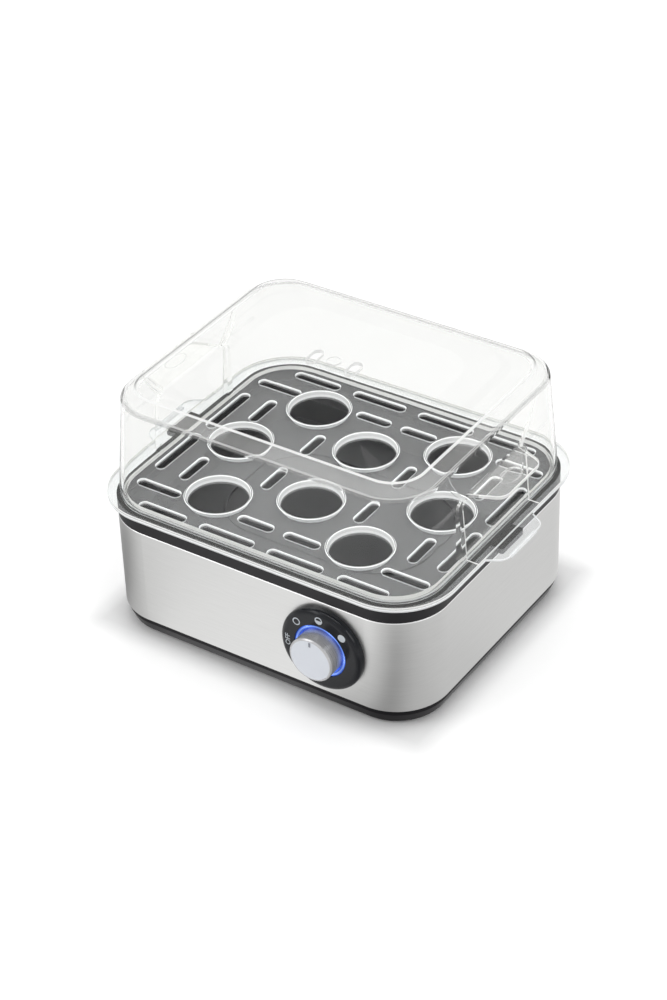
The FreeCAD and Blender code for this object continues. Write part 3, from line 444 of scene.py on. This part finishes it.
# %% Brushed steel
HEM_START = 1.0 * MM
HEM_FULL = 0.6 * MM
HEM_HIGHLIGHT = 0.75
GRAIN_SPREAD = (0.25, 0.75)
GRAIN_SHADE = (0.12, 0.25)

steel, tree, shader = new_finish("brushed_steel", (0.66, 0.66, 0.655), 0.36, metallic=1.0)
scratches = object_noise(tree, 40.0, stretch=(1.6, 1.6, 36.0), detail=6.0)
spread_gloss(tree, shader, scratches, roughness=(0.29, 0.41))
bump(tree, shader, scratches, distance=0.02 * MM, strength=0.15, radius=0.4 * MM)
height = split_vector(tree, add(tree, "TexCoord").outputs["Object"])["Z"]
# Painted highlight: the colour rises to near white along the folded top edge.
painted_hem_highlight = rescale(tree, height, (band_high.z - HEM_START, band_high.z - HEM_FULL), (0.0, HEM_HIGHLIGHT))
grain = rescale(tree, scratches, GRAIN_SPREAD, GRAIN_SHADE)
tint(tree, shader, calc(tree, "ADD", grain, painted_hem_highlight),
     dark=(0.62, 0.62, 0.61), light=(0.98, 0.98, 0.98))
shader.inputs["Anisotropic"].default_value = 0.7
tangent = add(tree, "Tangent", direction_type="RADIAL", axis="Z")
tree.links.new(tangent.outputs[0], shader.inputs["Tangent"])
finish_node(steel, "housing_band")

# %% [markdown]
# ## Black mouldings
# Rim and base are moulded in black plastic with a fine satin texture, which a mould gets by
# etching. A small-scale noise in the bump gives that grain, and a wide one varies the gloss a
# little, as handling does. The base cover shines less than the rim. The dial ring is the same
# plastic polished to a piano gloss.

# %% Black plastic


def black_moulding(name, gloss_level):
    """Etched black plastic; the gloss level is the shader's specular level."""
    material, tree, shader = new_finish(name, (0.010, 0.009, 0.011), 0.38)
    shader.inputs["Specular IOR Level"].default_value = gloss_level
    spread_gloss(tree, shader, object_noise(tree, 35.0), roughness=(0.32, 0.44))
    bump(tree, shader, object_noise(tree, 2600.0, detail=2.0),
         distance=0.03 * MM, strength=0.3, radius=0.5 * MM)
    return material


finish_node(black_moulding("satin_black_rim", gloss_level=0.28), "top_rim")
finish_node(black_moulding("satin_black_base", gloss_level=0.12), "base_cover")

gloss, tree, shader = new_finish("gloss_black_dial", (0.006, 0.007, 0.010), 0.16)
shader.inputs["Specular IOR Level"].default_value = 0.3
spread_gloss(tree, shader, object_noise(tree, 60.0), roughness=(0.12, 0.20))
bump(tree, shader, object_noise(tree, 900.0), distance=0.01 * MM, strength=0.3, radius=0.4 * MM)
finish_node(gloss, "dial_bezel")

# %% [markdown]
# ## Small tools for telling places apart
# The clear pieces are finished by place, since an edge differs from a wall and a flange from a
# crown. A mask is one where something holds and zero elsewhere, so a product of masks means all
# of them and the largest means any of them. Every mask here comes from two readings: where a
# place is, and how level the surface is there. Both belong to the piece, so the finish stays
# with it when it moves and is the same from every side.

# %% Mask helpers


def over(tree, value, limit):
    """One where a value is over a limit."""
    return calc(tree, "GREATER_THAN", value, limit)


def under(tree, value, limit):
    """One where a value is under a limit."""
    return calc(tree, "LESS_THAN", value, limit)


def all_of(tree, first, *others):
    """The product of masks and shares, which is zero where any of them is."""
    for other in others:
        first = calc(tree, "MULTIPLY", first, other)
    return first


def most_of(tree, first, *others):
    """The largest of several masks and shares."""
    for other in others:
        first = calc(tree, "MAXIMUM", first, other)
    return first


def place_on_cooker(tree):
    """Distance to either side, distance to front or back, and height above the table."""
    centred = add(tree, "Mapping")
    centred.inputs["Location"].default_value = (0.0, -housing_middle.y, 0.0)
    tree.links.new(add(tree, "TexCoord").outputs["Object"], centred.inputs["Vector"])
    parts = split_vector(tree, centred.outputs[0])
    return calc(tree, "ABSOLUTE", parts["X"]), calc(tree, "ABSOLUTE", parts["Y"]), parts["Z"]


def levelness(tree):
    """The size of the normal's upright part: one on a level face, zero on an upright one."""
    normal = split_vector(tree, add(tree, "TexCoord").outputs["Normal"])
    return calc(tree, "ABSOLUTE", normal["Z"])


# %% [markdown]
# ## Where lid and tray touch
# The lid's flange lies flat on the tray's rim, so two faces share one plane. Real clear plastic
# shows no surface where it is pressed together. Here some rays would meet one face first and
# some the other, which leaves grain, so both faces are left out of the bending. The tray's tabs
# reach past the flange, and their top faces stay.

# %% Touching faces
FLANGES_MEET = 81.5 * MM
MEET_WITHIN = 0.05 * MM
FLANGE_REACH = 107.3 * MM
LEVEL_FACE = 0.9


def touching_faces(tree):
    """One where the lid's flange and the tray's rim rest on each other."""
    reach, _, height = place_on_cooker(tree)
    at_meeting = calc(tree, "COMPARE", height, FLANGES_MEET, MEET_WITHIN)
    return all_of(tree, over(tree, levelness(tree), LEVEL_FACE), at_meeting,
                  under(tree, reach, FLANGE_REACH))


# %% [markdown]
# ## Clear polycarbonate
# Lid and tray are moulded in water-clear polycarbonate, thin enough that what lies behind shows
# nearly unbent. So the shader bends light very little and a clear coat carries the reflection,
# with the slow waves of a moulded face. Moulded edges gather light and show as pale lines, grey
# over white and white over black. Here that light is painted: where a mask says, the plastic
# stops passing light and shows lamp-lit white, a painted highlight, and a second mask can grey
# its colour, a painted shade. The construction has real chamfers and rounds there, and on them
# the surface leans, so a ramp over its levelness tells edges from walls and open faces without
# any noise. Lamps can't find their way through such a shader, so shadow rays meet a plain
# transparent one, and so does every ray at the touching faces.

# %% Helper for clear plastic
PLASTIC_BEND = 1.04
COAT_BEND = 1.42
PLASTIC_ROUGHNESS = 0.03


def clear_plastic(name, colour, coat, painted_light_of, painted_shade_of=None):
    """Polycarbonate with painted highlights, as pale as its light mask says, and painted shade,
    as grey as its shade mask says.
    """
    material, tree, shader = new_finish(name, colour, PLASTIC_ROUGHNESS)
    # Painted shade: the colour is greyed where the shade mask says.
    if painted_shade_of:
        shaded_colour = add(tree, "VectorMath", operation="SCALE")
        shaded_colour.inputs[0].default_value = colour
        feed(tree, shaded_colour.inputs["Scale"], painted_shade_of(tree))
        tree.links.new(shaded_colour.outputs[0], shader.inputs["Base Color"])
    # Painted highlight: where the light mask says, the plastic stops passing light and shows lit
    # white.
    feed(tree, shader.inputs["Transmission Weight"], calc(tree, "SUBTRACT", 1.0, painted_light_of(tree)))
    shader.inputs["IOR"].default_value = PLASTIC_BEND
    shader.inputs["Coat Weight"].default_value = coat
    shader.inputs["Coat IOR"].default_value = COAT_BEND
    shader.inputs["Coat Roughness"].default_value = PLASTIC_ROUGHNESS
    bump(tree, shader, object_noise(tree, 14.0, detail=1.0),
         distance=0.2 * MM, strength=0.25, socket="Coat Normal")
    open_way = add(tree, "BsdfTransparent")
    open_way.inputs["Color"].default_value = (*colour, 1.0)
    passing = most_of(tree, add(tree, "LightPath").outputs["Is Shadow Ray"], touching_faces(tree))
    tree.links.new(mix(tree, passing, shader, open_way).outputs[0],
                   tree.nodes["Material Output"].inputs["Surface"])
    return material


# %% [markdown]
# ## Painted highlight lines round the lid's pockets
# Beside each grip the lid's wall steps in, to make room for fingers. Below the grip this pocket
# has upright sides, and above it they spread like a fan and meet the wall in an arc. The arc is
# a plain corner with no round, and the upright edges have a round too small to show, so both
# are drawn as painted highlight lines. An upright line lies at a set distance from the middle,
# on the wall's outer skin only. The fan's line lies where the distance from the arc's middle
# equals its radius. Front and back, right and left are folded onto each other, so each line is
# drawn once.

# %% Pocket lines
POCKET_SPAN = 50 * MM
POCKET_FROM = 95.0 * MM
UPRIGHT_AT = 31.7 * MM
UPRIGHT_HALF = 0.45 * MM
UPRIGHT_TOP = 114.0 * MM
UPRIGHT_HIGHLIGHT = 0.8
WALL_DRAFT = 0.08
WALL_SKIN = 106.6 * MM
FAN_MIDDLE = Vector((0.0, -5.1, 159.8)) * MM
FAN_RADIUS = 52.4 * MM
FAN_HALF = 0.35 * MM
FAN_FOOT = 118.4 * MM
FAN_HIGHLIGHT = 0.6


def upright_line(tree, reach, off_middle, height):
    """Painted highlight on the pocket's upright edges, which lie on the drafted wall's skin."""
    on_line = calc(tree, "COMPARE", off_middle, UPRIGHT_AT, UPRIGHT_HALF)
    undrafted = calc(tree, "MULTIPLY_ADD", height, WALL_DRAFT, reach)
    return all_of(tree, on_line, under(tree, height, UPRIGHT_TOP),
                  over(tree, undrafted, WALL_SKIN), UPRIGHT_HIGHLIGHT)


def fan_line(tree, off_middle, height):
    """Painted highlight on the arc that ends the pocket's fan."""
    folded = add(tree, "CombineXYZ")
    tree.links.new(off_middle, folded.inputs["Y"])
    tree.links.new(height, folded.inputs["Z"])
    from_middle = vector_calc(tree, "DISTANCE", folded.outputs[0], FAN_MIDDLE)
    off_arc = calc(tree, "ABSOLUTE", calc(tree, "SUBTRACT", from_middle, FAN_RADIUS))
    on_arc = rescale(tree, off_arc, (0.0, FAN_HALF), (FAN_HIGHLIGHT, 0.0))
    return all_of(tree, on_arc, over(tree, height, FAN_FOOT))


def pocket_lines(tree, reach, off_middle, height):
    """Painted highlights on the lines round the pockets."""
    by_pocket = all_of(tree, under(tree, off_middle, POCKET_SPAN), over(tree, reach, POCKET_FROM))
    lines = most_of(tree, upright_line(tree, reach, off_middle, height),
                    fan_line(tree, off_middle, height))
    return all_of(tree, lines, by_pocket)


# %% [markdown]
# ## Painted highlights on edges, the crease and the veils
# A ramp over levelness paints chamfers and narrow upright faces pale on the flange, the wings
# and the vents, as painted highlights. The tall wall has to stay clear, so the ramp is kept to
# those places. The crease under the crown is painted almost fully pale, a painted highlight. The
# flange has a thin veil of painted light. So has a wing, where the painted veil is strongest on
# the slopes of the thumb dimple.

# %% Lid edges and veils
EDGE_HIGHLIGHT = ((0.0, 0.7), (0.2, 0.7), (0.3, 0.0), (0.64, 0.0), (0.69, 0.9), (0.73, 0.9),
             (0.78, 0.0), (1.0, 0.0))
FLANGE_TOP = 83.05 * MM
FLANGE_PAINTED_LIGHT = 0.06
WING_ROOT = 102.5 * MM
VENT_FOOT = 150.0 * MM
CREASE_FOOT = 146.35 * MM
CREASE_LEVEL = 0.966
CREASE_HIGHLIGHT = 0.85
WING_PAINTED_LIGHT = ((0.0, 0.08), (0.90, 0.25), (0.97, 0.20), (0.985, 0.08), (1.0, 0.08))
WING_FOOT = 118.2 * MM
WING_TOP = 120.9 * MM
WING_START = 97.0 * MM


def on_crease(tree, height, level):
    """One on the round between slope and crown, and on a thin strip below it."""
    return all_of(tree, over(tree, height, CREASE_FOOT), under(tree, level, CREASE_LEVEL))


def lid_edges(tree, reach, height, level):
    """Painted highlights on the edges of flange, wings and vents, and the flange's painted veil.
    """
    on_flange = under(tree, height, FLANGE_TOP)
    edged = most_of(tree, on_flange, over(tree, height, VENT_FOOT), over(tree, reach, WING_ROOT))
    edges = all_of(tree, edged, level_ramp(tree, level, EDGE_HIGHLIGHT))
    return most_of(tree, edges, all_of(tree, on_flange, FLANGE_PAINTED_LIGHT))


def painted_wing_veil(tree, reach, height, level):
    """Painted veil of light on the wings' level faces and dimples."""
    on_wing = all_of(tree, over(tree, height, WING_FOOT), under(tree, height, WING_TOP),
                     over(tree, reach, WING_START))
    return all_of(tree, on_wing, level_ramp(tree, level, WING_PAINTED_LIGHT))


# %% [markdown]
# ## Where the lid is painted pale
# A ramp over levelness serves the lid as a whole. Wall and crown stay clear, the round at the
# shoulder is painted pale where it leans half way, the slope above it wears a faint painted veil
# and the crease under the crown is painted pale again, all as painted highlights. Each place is
# as pale as the strongest of this ramp, the pocket's lines, the edges, the crease and the veils.

# %% Lid milk
LID_PAINTED_LIGHT = ((0.0, 0.0), (0.12, 0.0), (0.16, 0.12), (0.60, 0.12), (0.66, 0.6), (0.73, 0.6),
            (0.78, 0.09), (0.905, 0.09), (0.92, 0.4), (0.955, 0.4), (0.968, 0.0), (1.0, 0.0))


def lid_painted_light(tree):
    """How pale the lid is painted at a place, as painted highlight."""
    reach, off_middle, height = place_on_cooker(tree)
    level = levelness(tree)
    return most_of(tree, level_ramp(tree, level, LID_PAINTED_LIGHT),
                   pocket_lines(tree, reach, off_middle, height),
                   lid_edges(tree, reach, height, level),
                   all_of(tree, on_crease(tree, height, level), CREASE_HIGHLIGHT),
                   painted_wing_veil(tree, reach, height, level))


# %% [markdown]
# ## Painted shade on the lid's rounds
# From the shoulder up a ramp over levelness paints the rounds greyer than the open faces, as
# painted shade. The crease's side matters as well: it stays white towards the front right and is
# grey towards the back left, as the photo shows it. That direction is fixed to the lid and no
# node reads the camera, but its numbers are the camera's own azimuth. So this is shade painted
# to suit the main view. Neither the lamps nor the shader give it, and from behind it is on the
# wrong side. The crown's border, just inside the crease, is painted a shade greyer than its
# middle, painted shade as well.

# %% Lid tone
LID_PAINTED_SHADE = ((0.0, 1.0), (0.12, 1.0), (0.16, 0.72), (0.76, 0.72), (0.80, 0.93), (0.905, 0.93),
            (0.92, 0.75), (0.955, 0.75), (0.968, 1.0), (1.0, 1.0))
SHOULDER_FOOT = 138.8 * MM
CAMERA_SIDE = Vector((0.57, -0.82, 0.0))
CAMERA_SIDE_SPREAD = (-0.1, 0.1)
CREASE_FAR_TONE = 0.35
BORDER_TOP = 149.3 * MM
BORDER_PAINTED_SHADE = 0.965


def lid_painted_shade(tree):
    """How much of its brightness the lid keeps at a place under its painted shade."""
    _, _, height = place_on_cooker(tree)
    level = levelness(tree)
    normal = add(tree, "TexCoord").outputs["Normal"]
    towards_camera = vector_calc(tree, "DOT_PRODUCT", normal, CAMERA_SIDE)
    crease_tone = rescale(tree, towards_camera, CAMERA_SIDE_SPREAD, (CREASE_FAR_TONE, 1.0))
    round_tone = blend(tree, on_crease(tree, height, level),
                       level_ramp(tree, level, LID_PAINTED_SHADE), crease_tone)
    top_tone = blend(tree, over(tree, height, SHOULDER_FOOT), 1.0, round_tone)
    on_border = all_of(tree, over(tree, height, CREASE_FOOT), under(tree, height, BORDER_TOP))
    return all_of(tree, blend(tree, on_border, 1.0, BORDER_PAINTED_SHADE), top_tone)


finish_node(clear_plastic("clear_lid", (0.976, 0.978, 0.970), coat=0.25,
                          painted_light_of=lid_painted_light, painted_shade_of=lid_painted_shade), "lid")

# %% [markdown]
# ## Where the tray is painted pale
# The tray's floor is painted a little pale, and its upright faces more so. Slots and seats have
# small chamfers, which read as white outlines, painted highlights, and just below the floor's top
# the slots' walls are painted white too, a painted highlight for the light that gathers behind
# the chamfer. Above the floor the ramp for edges paints the rim and the seats' raised rings pale
# in the same way. The side tabs wear a thin veil of painted light.

# %% Clear tray
TRAY_PAINTED_LIGHT = ((0.0, 0.18), (0.15, 0.15), (0.30, 0.04), (0.62, 0.04), (0.68, 1.0), (0.74, 1.0),
             (0.80, 0.04), (1.0, 0.04))
OVER_FLOOR = 80.25 * MM
LIP_FOOT = 78.9 * MM
LIP_LEVEL = 0.3
LIP_HIGHLIGHT = 0.9
TAB_START = 99.0 * MM
TAB_PAINTED_LIGHT = 0.06


def tray_painted_light(tree):
    """How pale the tray is painted at a place, mostly as painted highlights."""
    reach, _, height = place_on_cooker(tree)
    level = levelness(tree)
    edges = all_of(tree, level_ramp(tree, level, EDGE_HIGHLIGHT), over(tree, height, OVER_FLOOR))
    lips = all_of(tree, over(tree, height, LIP_FOOT), under(tree, height, OVER_FLOOR),
                  under(tree, level, LIP_LEVEL), LIP_HIGHLIGHT)
    tabs = all_of(tree, over(tree, reach, TAB_START), TAB_PAINTED_LIGHT)
    return most_of(tree, level_ramp(tree, level, TRAY_PAINTED_LIGHT), edges, lips, tabs)


finish_node(clear_plastic("clear_tray", (0.95, 0.96, 0.97), coat=0.5, painted_light_of=tray_painted_light),
            "egg_tray")

# %% [markdown]
# ## The lit ring
# A clear light guide shines blue between dial and knob. The diodes behind it are small, so the
# glow is uneven: brighter over each diode. A wave in the angle round the dial's axis gives that,
# made from Object coordinates moved to the axis with a Mapping node. A thin pale line round the
# middle of the ring is a painted highlight, a dark one runs just inside it, and the sparkle over
# the diodes is painted glints.

# %% Light guide
DIODES = 6
DIODE_GLOW = (0.45, 1.1)
LINE_RADIUS = 14.9 * MM
LINE_HALF = 0.35 * MM
LINE_GLOW = 0.6
GROOVE_RADIUS = 14.25 * MM
GROOVE_HALF = 0.3 * MM
GROOVE_GLOW = 0.25
GLINT_SPREAD = (0.52, 0.64)
SPARKLE_FROM = 0.3
SPARKLE_GLOW = 0.8


def round_line(tree, from_axis, radius, half, levels):
    """One level on a circle round an axis, fading to another level beside it."""
    off_line = calc(tree, "ABSOLUTE", calc(tree, "SUBTRACT", from_axis, radius))
    return rescale(tree, off_line, (0.0, half), levels, "SMOOTHSTEP")


guide, tree, shader = new_finish("lit_light_guide", (0.10, 0.20, 0.55), 0.25)
centre = add(tree, "Mapping")
centre.inputs["Location"].default_value = -dial_axis
tree.links.new(add(tree, "TexCoord").outputs["Object"], centre.inputs["Vector"])
spot = split_vector(tree, centre.outputs[0])
angle = calc(tree, "ARCTAN2", spot["Z"], spot["X"])
wave = calc(tree, "COSINE", calc(tree, "MULTIPLY", angle, float(DIODES)))
squares = [calc(tree, "MULTIPLY", part, part) for part in (spot["X"], spot["Z"])]
from_axis = calc(tree, "SQRT", calc(tree, "ADD", *squares))

# Painted highlight: a pale line round the middle of the ring.
painted_highlight_line = round_line(tree, from_axis, LINE_RADIUS, LINE_HALF, (LINE_GLOW, 0.0))
groove = round_line(tree, from_axis, GROOVE_RADIUS, GROOVE_HALF, (GROOVE_GLOW, 1.0))
# Painted glints: sparkle from noise over the diodes.
glint_spots = rescale(tree, object_noise(tree, 1500.0, detail=1.0), GLINT_SPREAD, (0.0, 1.0))
painted_glints = all_of(tree, glint_spots, rescale(tree, wave, (SPARKLE_FROM, 1.0), (0.0, SPARKLE_GLOW)))
tint(tree, shader, most_of(tree, painted_highlight_line, painted_glints),
     dark=(0.02, 0.085, 0.62), light=(0.45, 0.65, 1.0), socket="Emission Color")
over_diode = rescale(tree, wave, (-1.0, 1.0), DIODE_GLOW)
feed(tree, shader.inputs["Emission Strength"], all_of(tree, over_diode, groove))
finish_node(guide, "light_ring")

# %% [markdown]
# ## The knob
# The knob's shell is turned metal with fine marks round its side, and its face is a satin disc
# a shade paler. The turning marks are noise squeezed along the knob's own axis.

# %% Knob metal
knob_metal, tree, shader = new_finish("turned_knob_metal", (0.56, 0.56, 0.57), 0.3, metallic=0.55)
lathe = object_noise(tree, 60.0, stretch=(1.0, 60.0, 1.0))
spread_gloss(tree, shader, lathe, roughness=(0.22, 0.36))
bump(tree, shader, lathe, distance=0.02 * MM, strength=0.3, radius=0.3 * MM)
finish_node(knob_metal, "knob_shell", "control_shaft")

knob_face, tree, shader = new_finish("satin_knob_face", (0.695, 0.72, 0.77), 0.42, metallic=0.5)
satin = object_noise(tree, 1800.0, detail=2.0)
spread_gloss(tree, shader, satin, roughness=(0.36, 0.5))
bump(tree, shader, satin, distance=0.02 * MM, strength=0.3)
finish_node(knob_face, "knob_cap")

pointer_paint, tree, shader = new_finish("pointer_paint", (0.25, 0.26, 0.30), 0.45)
bump(tree, shader, object_noise(tree, 2500.0), distance=0.01 * MM, strength=0.3)
finish_node(pointer_paint, "knob_pointer")

# %% [markdown]
# ## The water pan and what is under it
# The pan wears a dark non-stick coating. Under it sit bare aluminium, a heat-darkened tube,
# plated sheet and ceramic, which only an open cooker shows, so their finishes are short: a
# colour that varies a little, a grain and a spread of gloss each.

# %% Inner finishes
DARKER = 0.88
LIGHTER = 1.08


def plain_finish(name, colour, roughness, metallic=0.0, relief=0.4):
    """A colour with a fine grain in its bump and its gloss, between two roughness limits."""
    material, tree, shader = new_finish(name, colour, roughness[0], metallic)
    grain = object_noise(tree, 900.0, detail=3.0)
    spread_gloss(tree, shader, grain, roughness)
    tint(tree, shader, object_noise(tree, 45.0), dark=[part * DARKER for part in colour],
         light=[min(1.0, part * LIGHTER) for part in colour])
    bump(tree, shader, grain, distance=0.03 * MM, strength=relief, radius=0.3 * MM)
    return material


finish_node(plain_finish("non_stick_coating", (0.012, 0.012, 0.013), (0.30, 0.42), relief=0.1),
            "heating_pan")
finish_node(plain_finish("grey_silicone", (0.30, 0.30, 0.31), (0.5, 0.6)), "pan_gasket")
finish_node(plain_finish("black_rubber", (0.02, 0.02, 0.02), (0.65, 0.85)),
            "rubber_feet", "cord_grommet")
finish_node(plain_finish("zinc_plate", (0.62, 0.62, 0.60), (0.28, 0.42), metallic=1.0),
            "base_screws", "pan_clips", "clip_screws", "heat_shield", "shield_screws",
            "thermostat_bracket", "control_bracket", "bracket_screws", "control_nut",
            "terminal_screws")
finish_node(plain_finish("rolled_aluminium", (0.80, 0.80, 0.80), (0.3, 0.45), metallic=1.0),
            "heat_spreader")
finish_node(plain_finish("heat_darkened_tube", (0.22, 0.20, 0.185), (0.35, 0.55), metallic=1.0),
            "heating_element")
finish_node(plain_finish("glazed_ceramic", (0.82, 0.80, 0.75), (0.2, 0.35)),
            "element_terminals", "thermal_fuse")
finish_node(plain_finish("phenolic_moulding", (0.06, 0.04, 0.03), (0.4, 0.55)),
            "thermostat", "rotary_control")
finish_node(plain_finish("natural_nylon", (0.78, 0.77, 0.72), (0.4, 0.55)), "terminal_block")
finish_node(plain_finish("silicone_insulation", (0.40, 0.40, 0.42), (0.5, 0.65)), "inner_leads")
finish_node(plain_finish("solder_mask", (0.02, 0.16, 0.07), (0.25, 0.4)), "led_board")
finish_node(plain_finish("blue_diode", (0.25, 0.45, 1.0), (0.15, 0.25)), "board_leds")

# %% [markdown]
# ## The dial's marks
# The dial is printed in pale grey: the word OFF at the left, then an empty ring, a ring whose
# lower half is full and a full disc, an eighth of a turn apart. Print is a film of ink, so each
# mark is a thin flat piece that lies on the dial's face: a flat outline, drawn in X and Y at
# the origin, pushed out by the ink's thickness and then laid at its place round the dial.

# %% Ink and its helpers
MARK_RADIUS = 19.9 * MM
INK = 0.04 * MM

ink, tree, shader = new_finish("pale_dial_ink", (0.62, 0.66, 0.70), 0.5)
bump(tree, shader, object_noise(tree, 3000.0), distance=0.01 * MM, strength=0.3)


def dial_place(degrees):
    """Turns a flat mark drawn in X and Y onto the dial's face, at an angle round its axis."""
    angle = math.radians(degrees)
    spot = Vector((dial_axis.x + MARK_RADIUS * math.cos(angle), dial_face,
                   dial_axis.z + MARK_RADIUS * math.sin(angle)))
    return Matrix.Translation(spot) @ Matrix.Rotation(math.radians(90), 4, "X")


def printed(name, build, place):
    """Gives a flat outline in X and Y the ink's thickness and lays it on the dial."""
    grown = bmesh.ops.extrude_face_region(build, geom=list(build.faces))
    top = [part for part in grown["geom"] if isinstance(part, bmesh.types.BMVert)]
    bmesh.ops.translate(build, verts=top, vec=(0.0, 0.0, INK))
    bmesh.ops.transform(build, matrix=place, verts=build.verts)
    bmesh.ops.recalc_face_normals(build, faces=build.faces)
    mesh = bpy.data.meshes.new(name)
    build.to_mesh(mesh)
    build.free()
    mesh.materials.append(ink)
    piece = bpy.data.objects.new(name, mesh)
    bpy.context.scene.collection.objects.link(piece)
    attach(piece, "housing")
    print(name, "faces:", len(mesh.polygons))


# %% [markdown]
# ## The round marks
# The full mark is a disc. A ring is the same disc without its inset middle, so its line is even
# all round. The half-full mark is such a ring with the lower half of a smaller disc inside.

# %% Round marks
MARK_SIZE = 2.3 * MM
MARK_LINE = 0.6 * MM
MARK_SIDES = 32
AT_EMPTY = 135
AT_HALF = 90
AT_FULL = 45


def disc(build, radius):
    """A flat round face."""
    bmesh.ops.create_circle(build, cap_ends=True, radius=radius, segments=MARK_SIDES)


build = bmesh.new()
disc(build, MARK_SIZE)
printed("mark_full", build, dial_place(AT_FULL))

for name, degrees in (("mark_empty", AT_EMPTY), ("mark_half_ring", AT_HALF)):
    build = bmesh.new()
    disc(build, MARK_SIZE)
    line_faces = bmesh.ops.inset_region(build, faces=list(build.faces), thickness=MARK_LINE,
                                        use_boundary=True, use_even_offset=True)["faces"]
    middle = [face for face in build.faces if face not in line_faces]
    bmesh.ops.delete(build, geom=middle, context="FACES")
    printed(name, build, dial_place(degrees))

build = bmesh.new()
disc(build, MARK_SIZE - MARK_LINE)
bmesh.ops.bisect_plane(build, geom=list(build.verts) + list(build.edges) + list(build.faces),
                       plane_co=(0.0, 0.0, 0.0), plane_no=(0.0, 1.0, 0.0), clear_outer=True)
printed("mark_half_fill", build, dial_place(AT_HALF))

# %% [markdown]
# ## The word on the dial
# The word reads upward along the dial's left edge. A font curve, set about its own middle,
# becomes a mesh, is turned by a quarter and laid on the face like the other marks.

# %% The word OFF
WORD_HEIGHT = 4.3 * MM
CURVE_STEPS = 4
SAME_PLACE = 0.001 * MM
AT_OFF = 180

curve = bpy.data.curves.new("word_curve", "FONT")
curve.body = "OFF"
curve.size = WORD_HEIGHT
curve.resolution_u = CURVE_STEPS
curve.align_x = "CENTER"
curve.align_y = "CENTER"
draft = bpy.data.objects.new("word_draft", curve)
bpy.context.scene.collection.objects.link(draft)
bpy.context.view_layer.update()
flat_word = bpy.data.meshes.new_from_object(draft.evaluated_get(
    bpy.context.evaluated_depsgraph_get()))
bpy.data.objects.remove(draft)
build = bmesh.new()
build.from_mesh(flat_word)
bmesh.ops.remove_doubles(build, verts=build.verts, dist=SAME_PLACE)
printed("mark_off", build, dial_place(AT_OFF) @ Matrix.Rotation(math.radians(90), 4, "Z"))
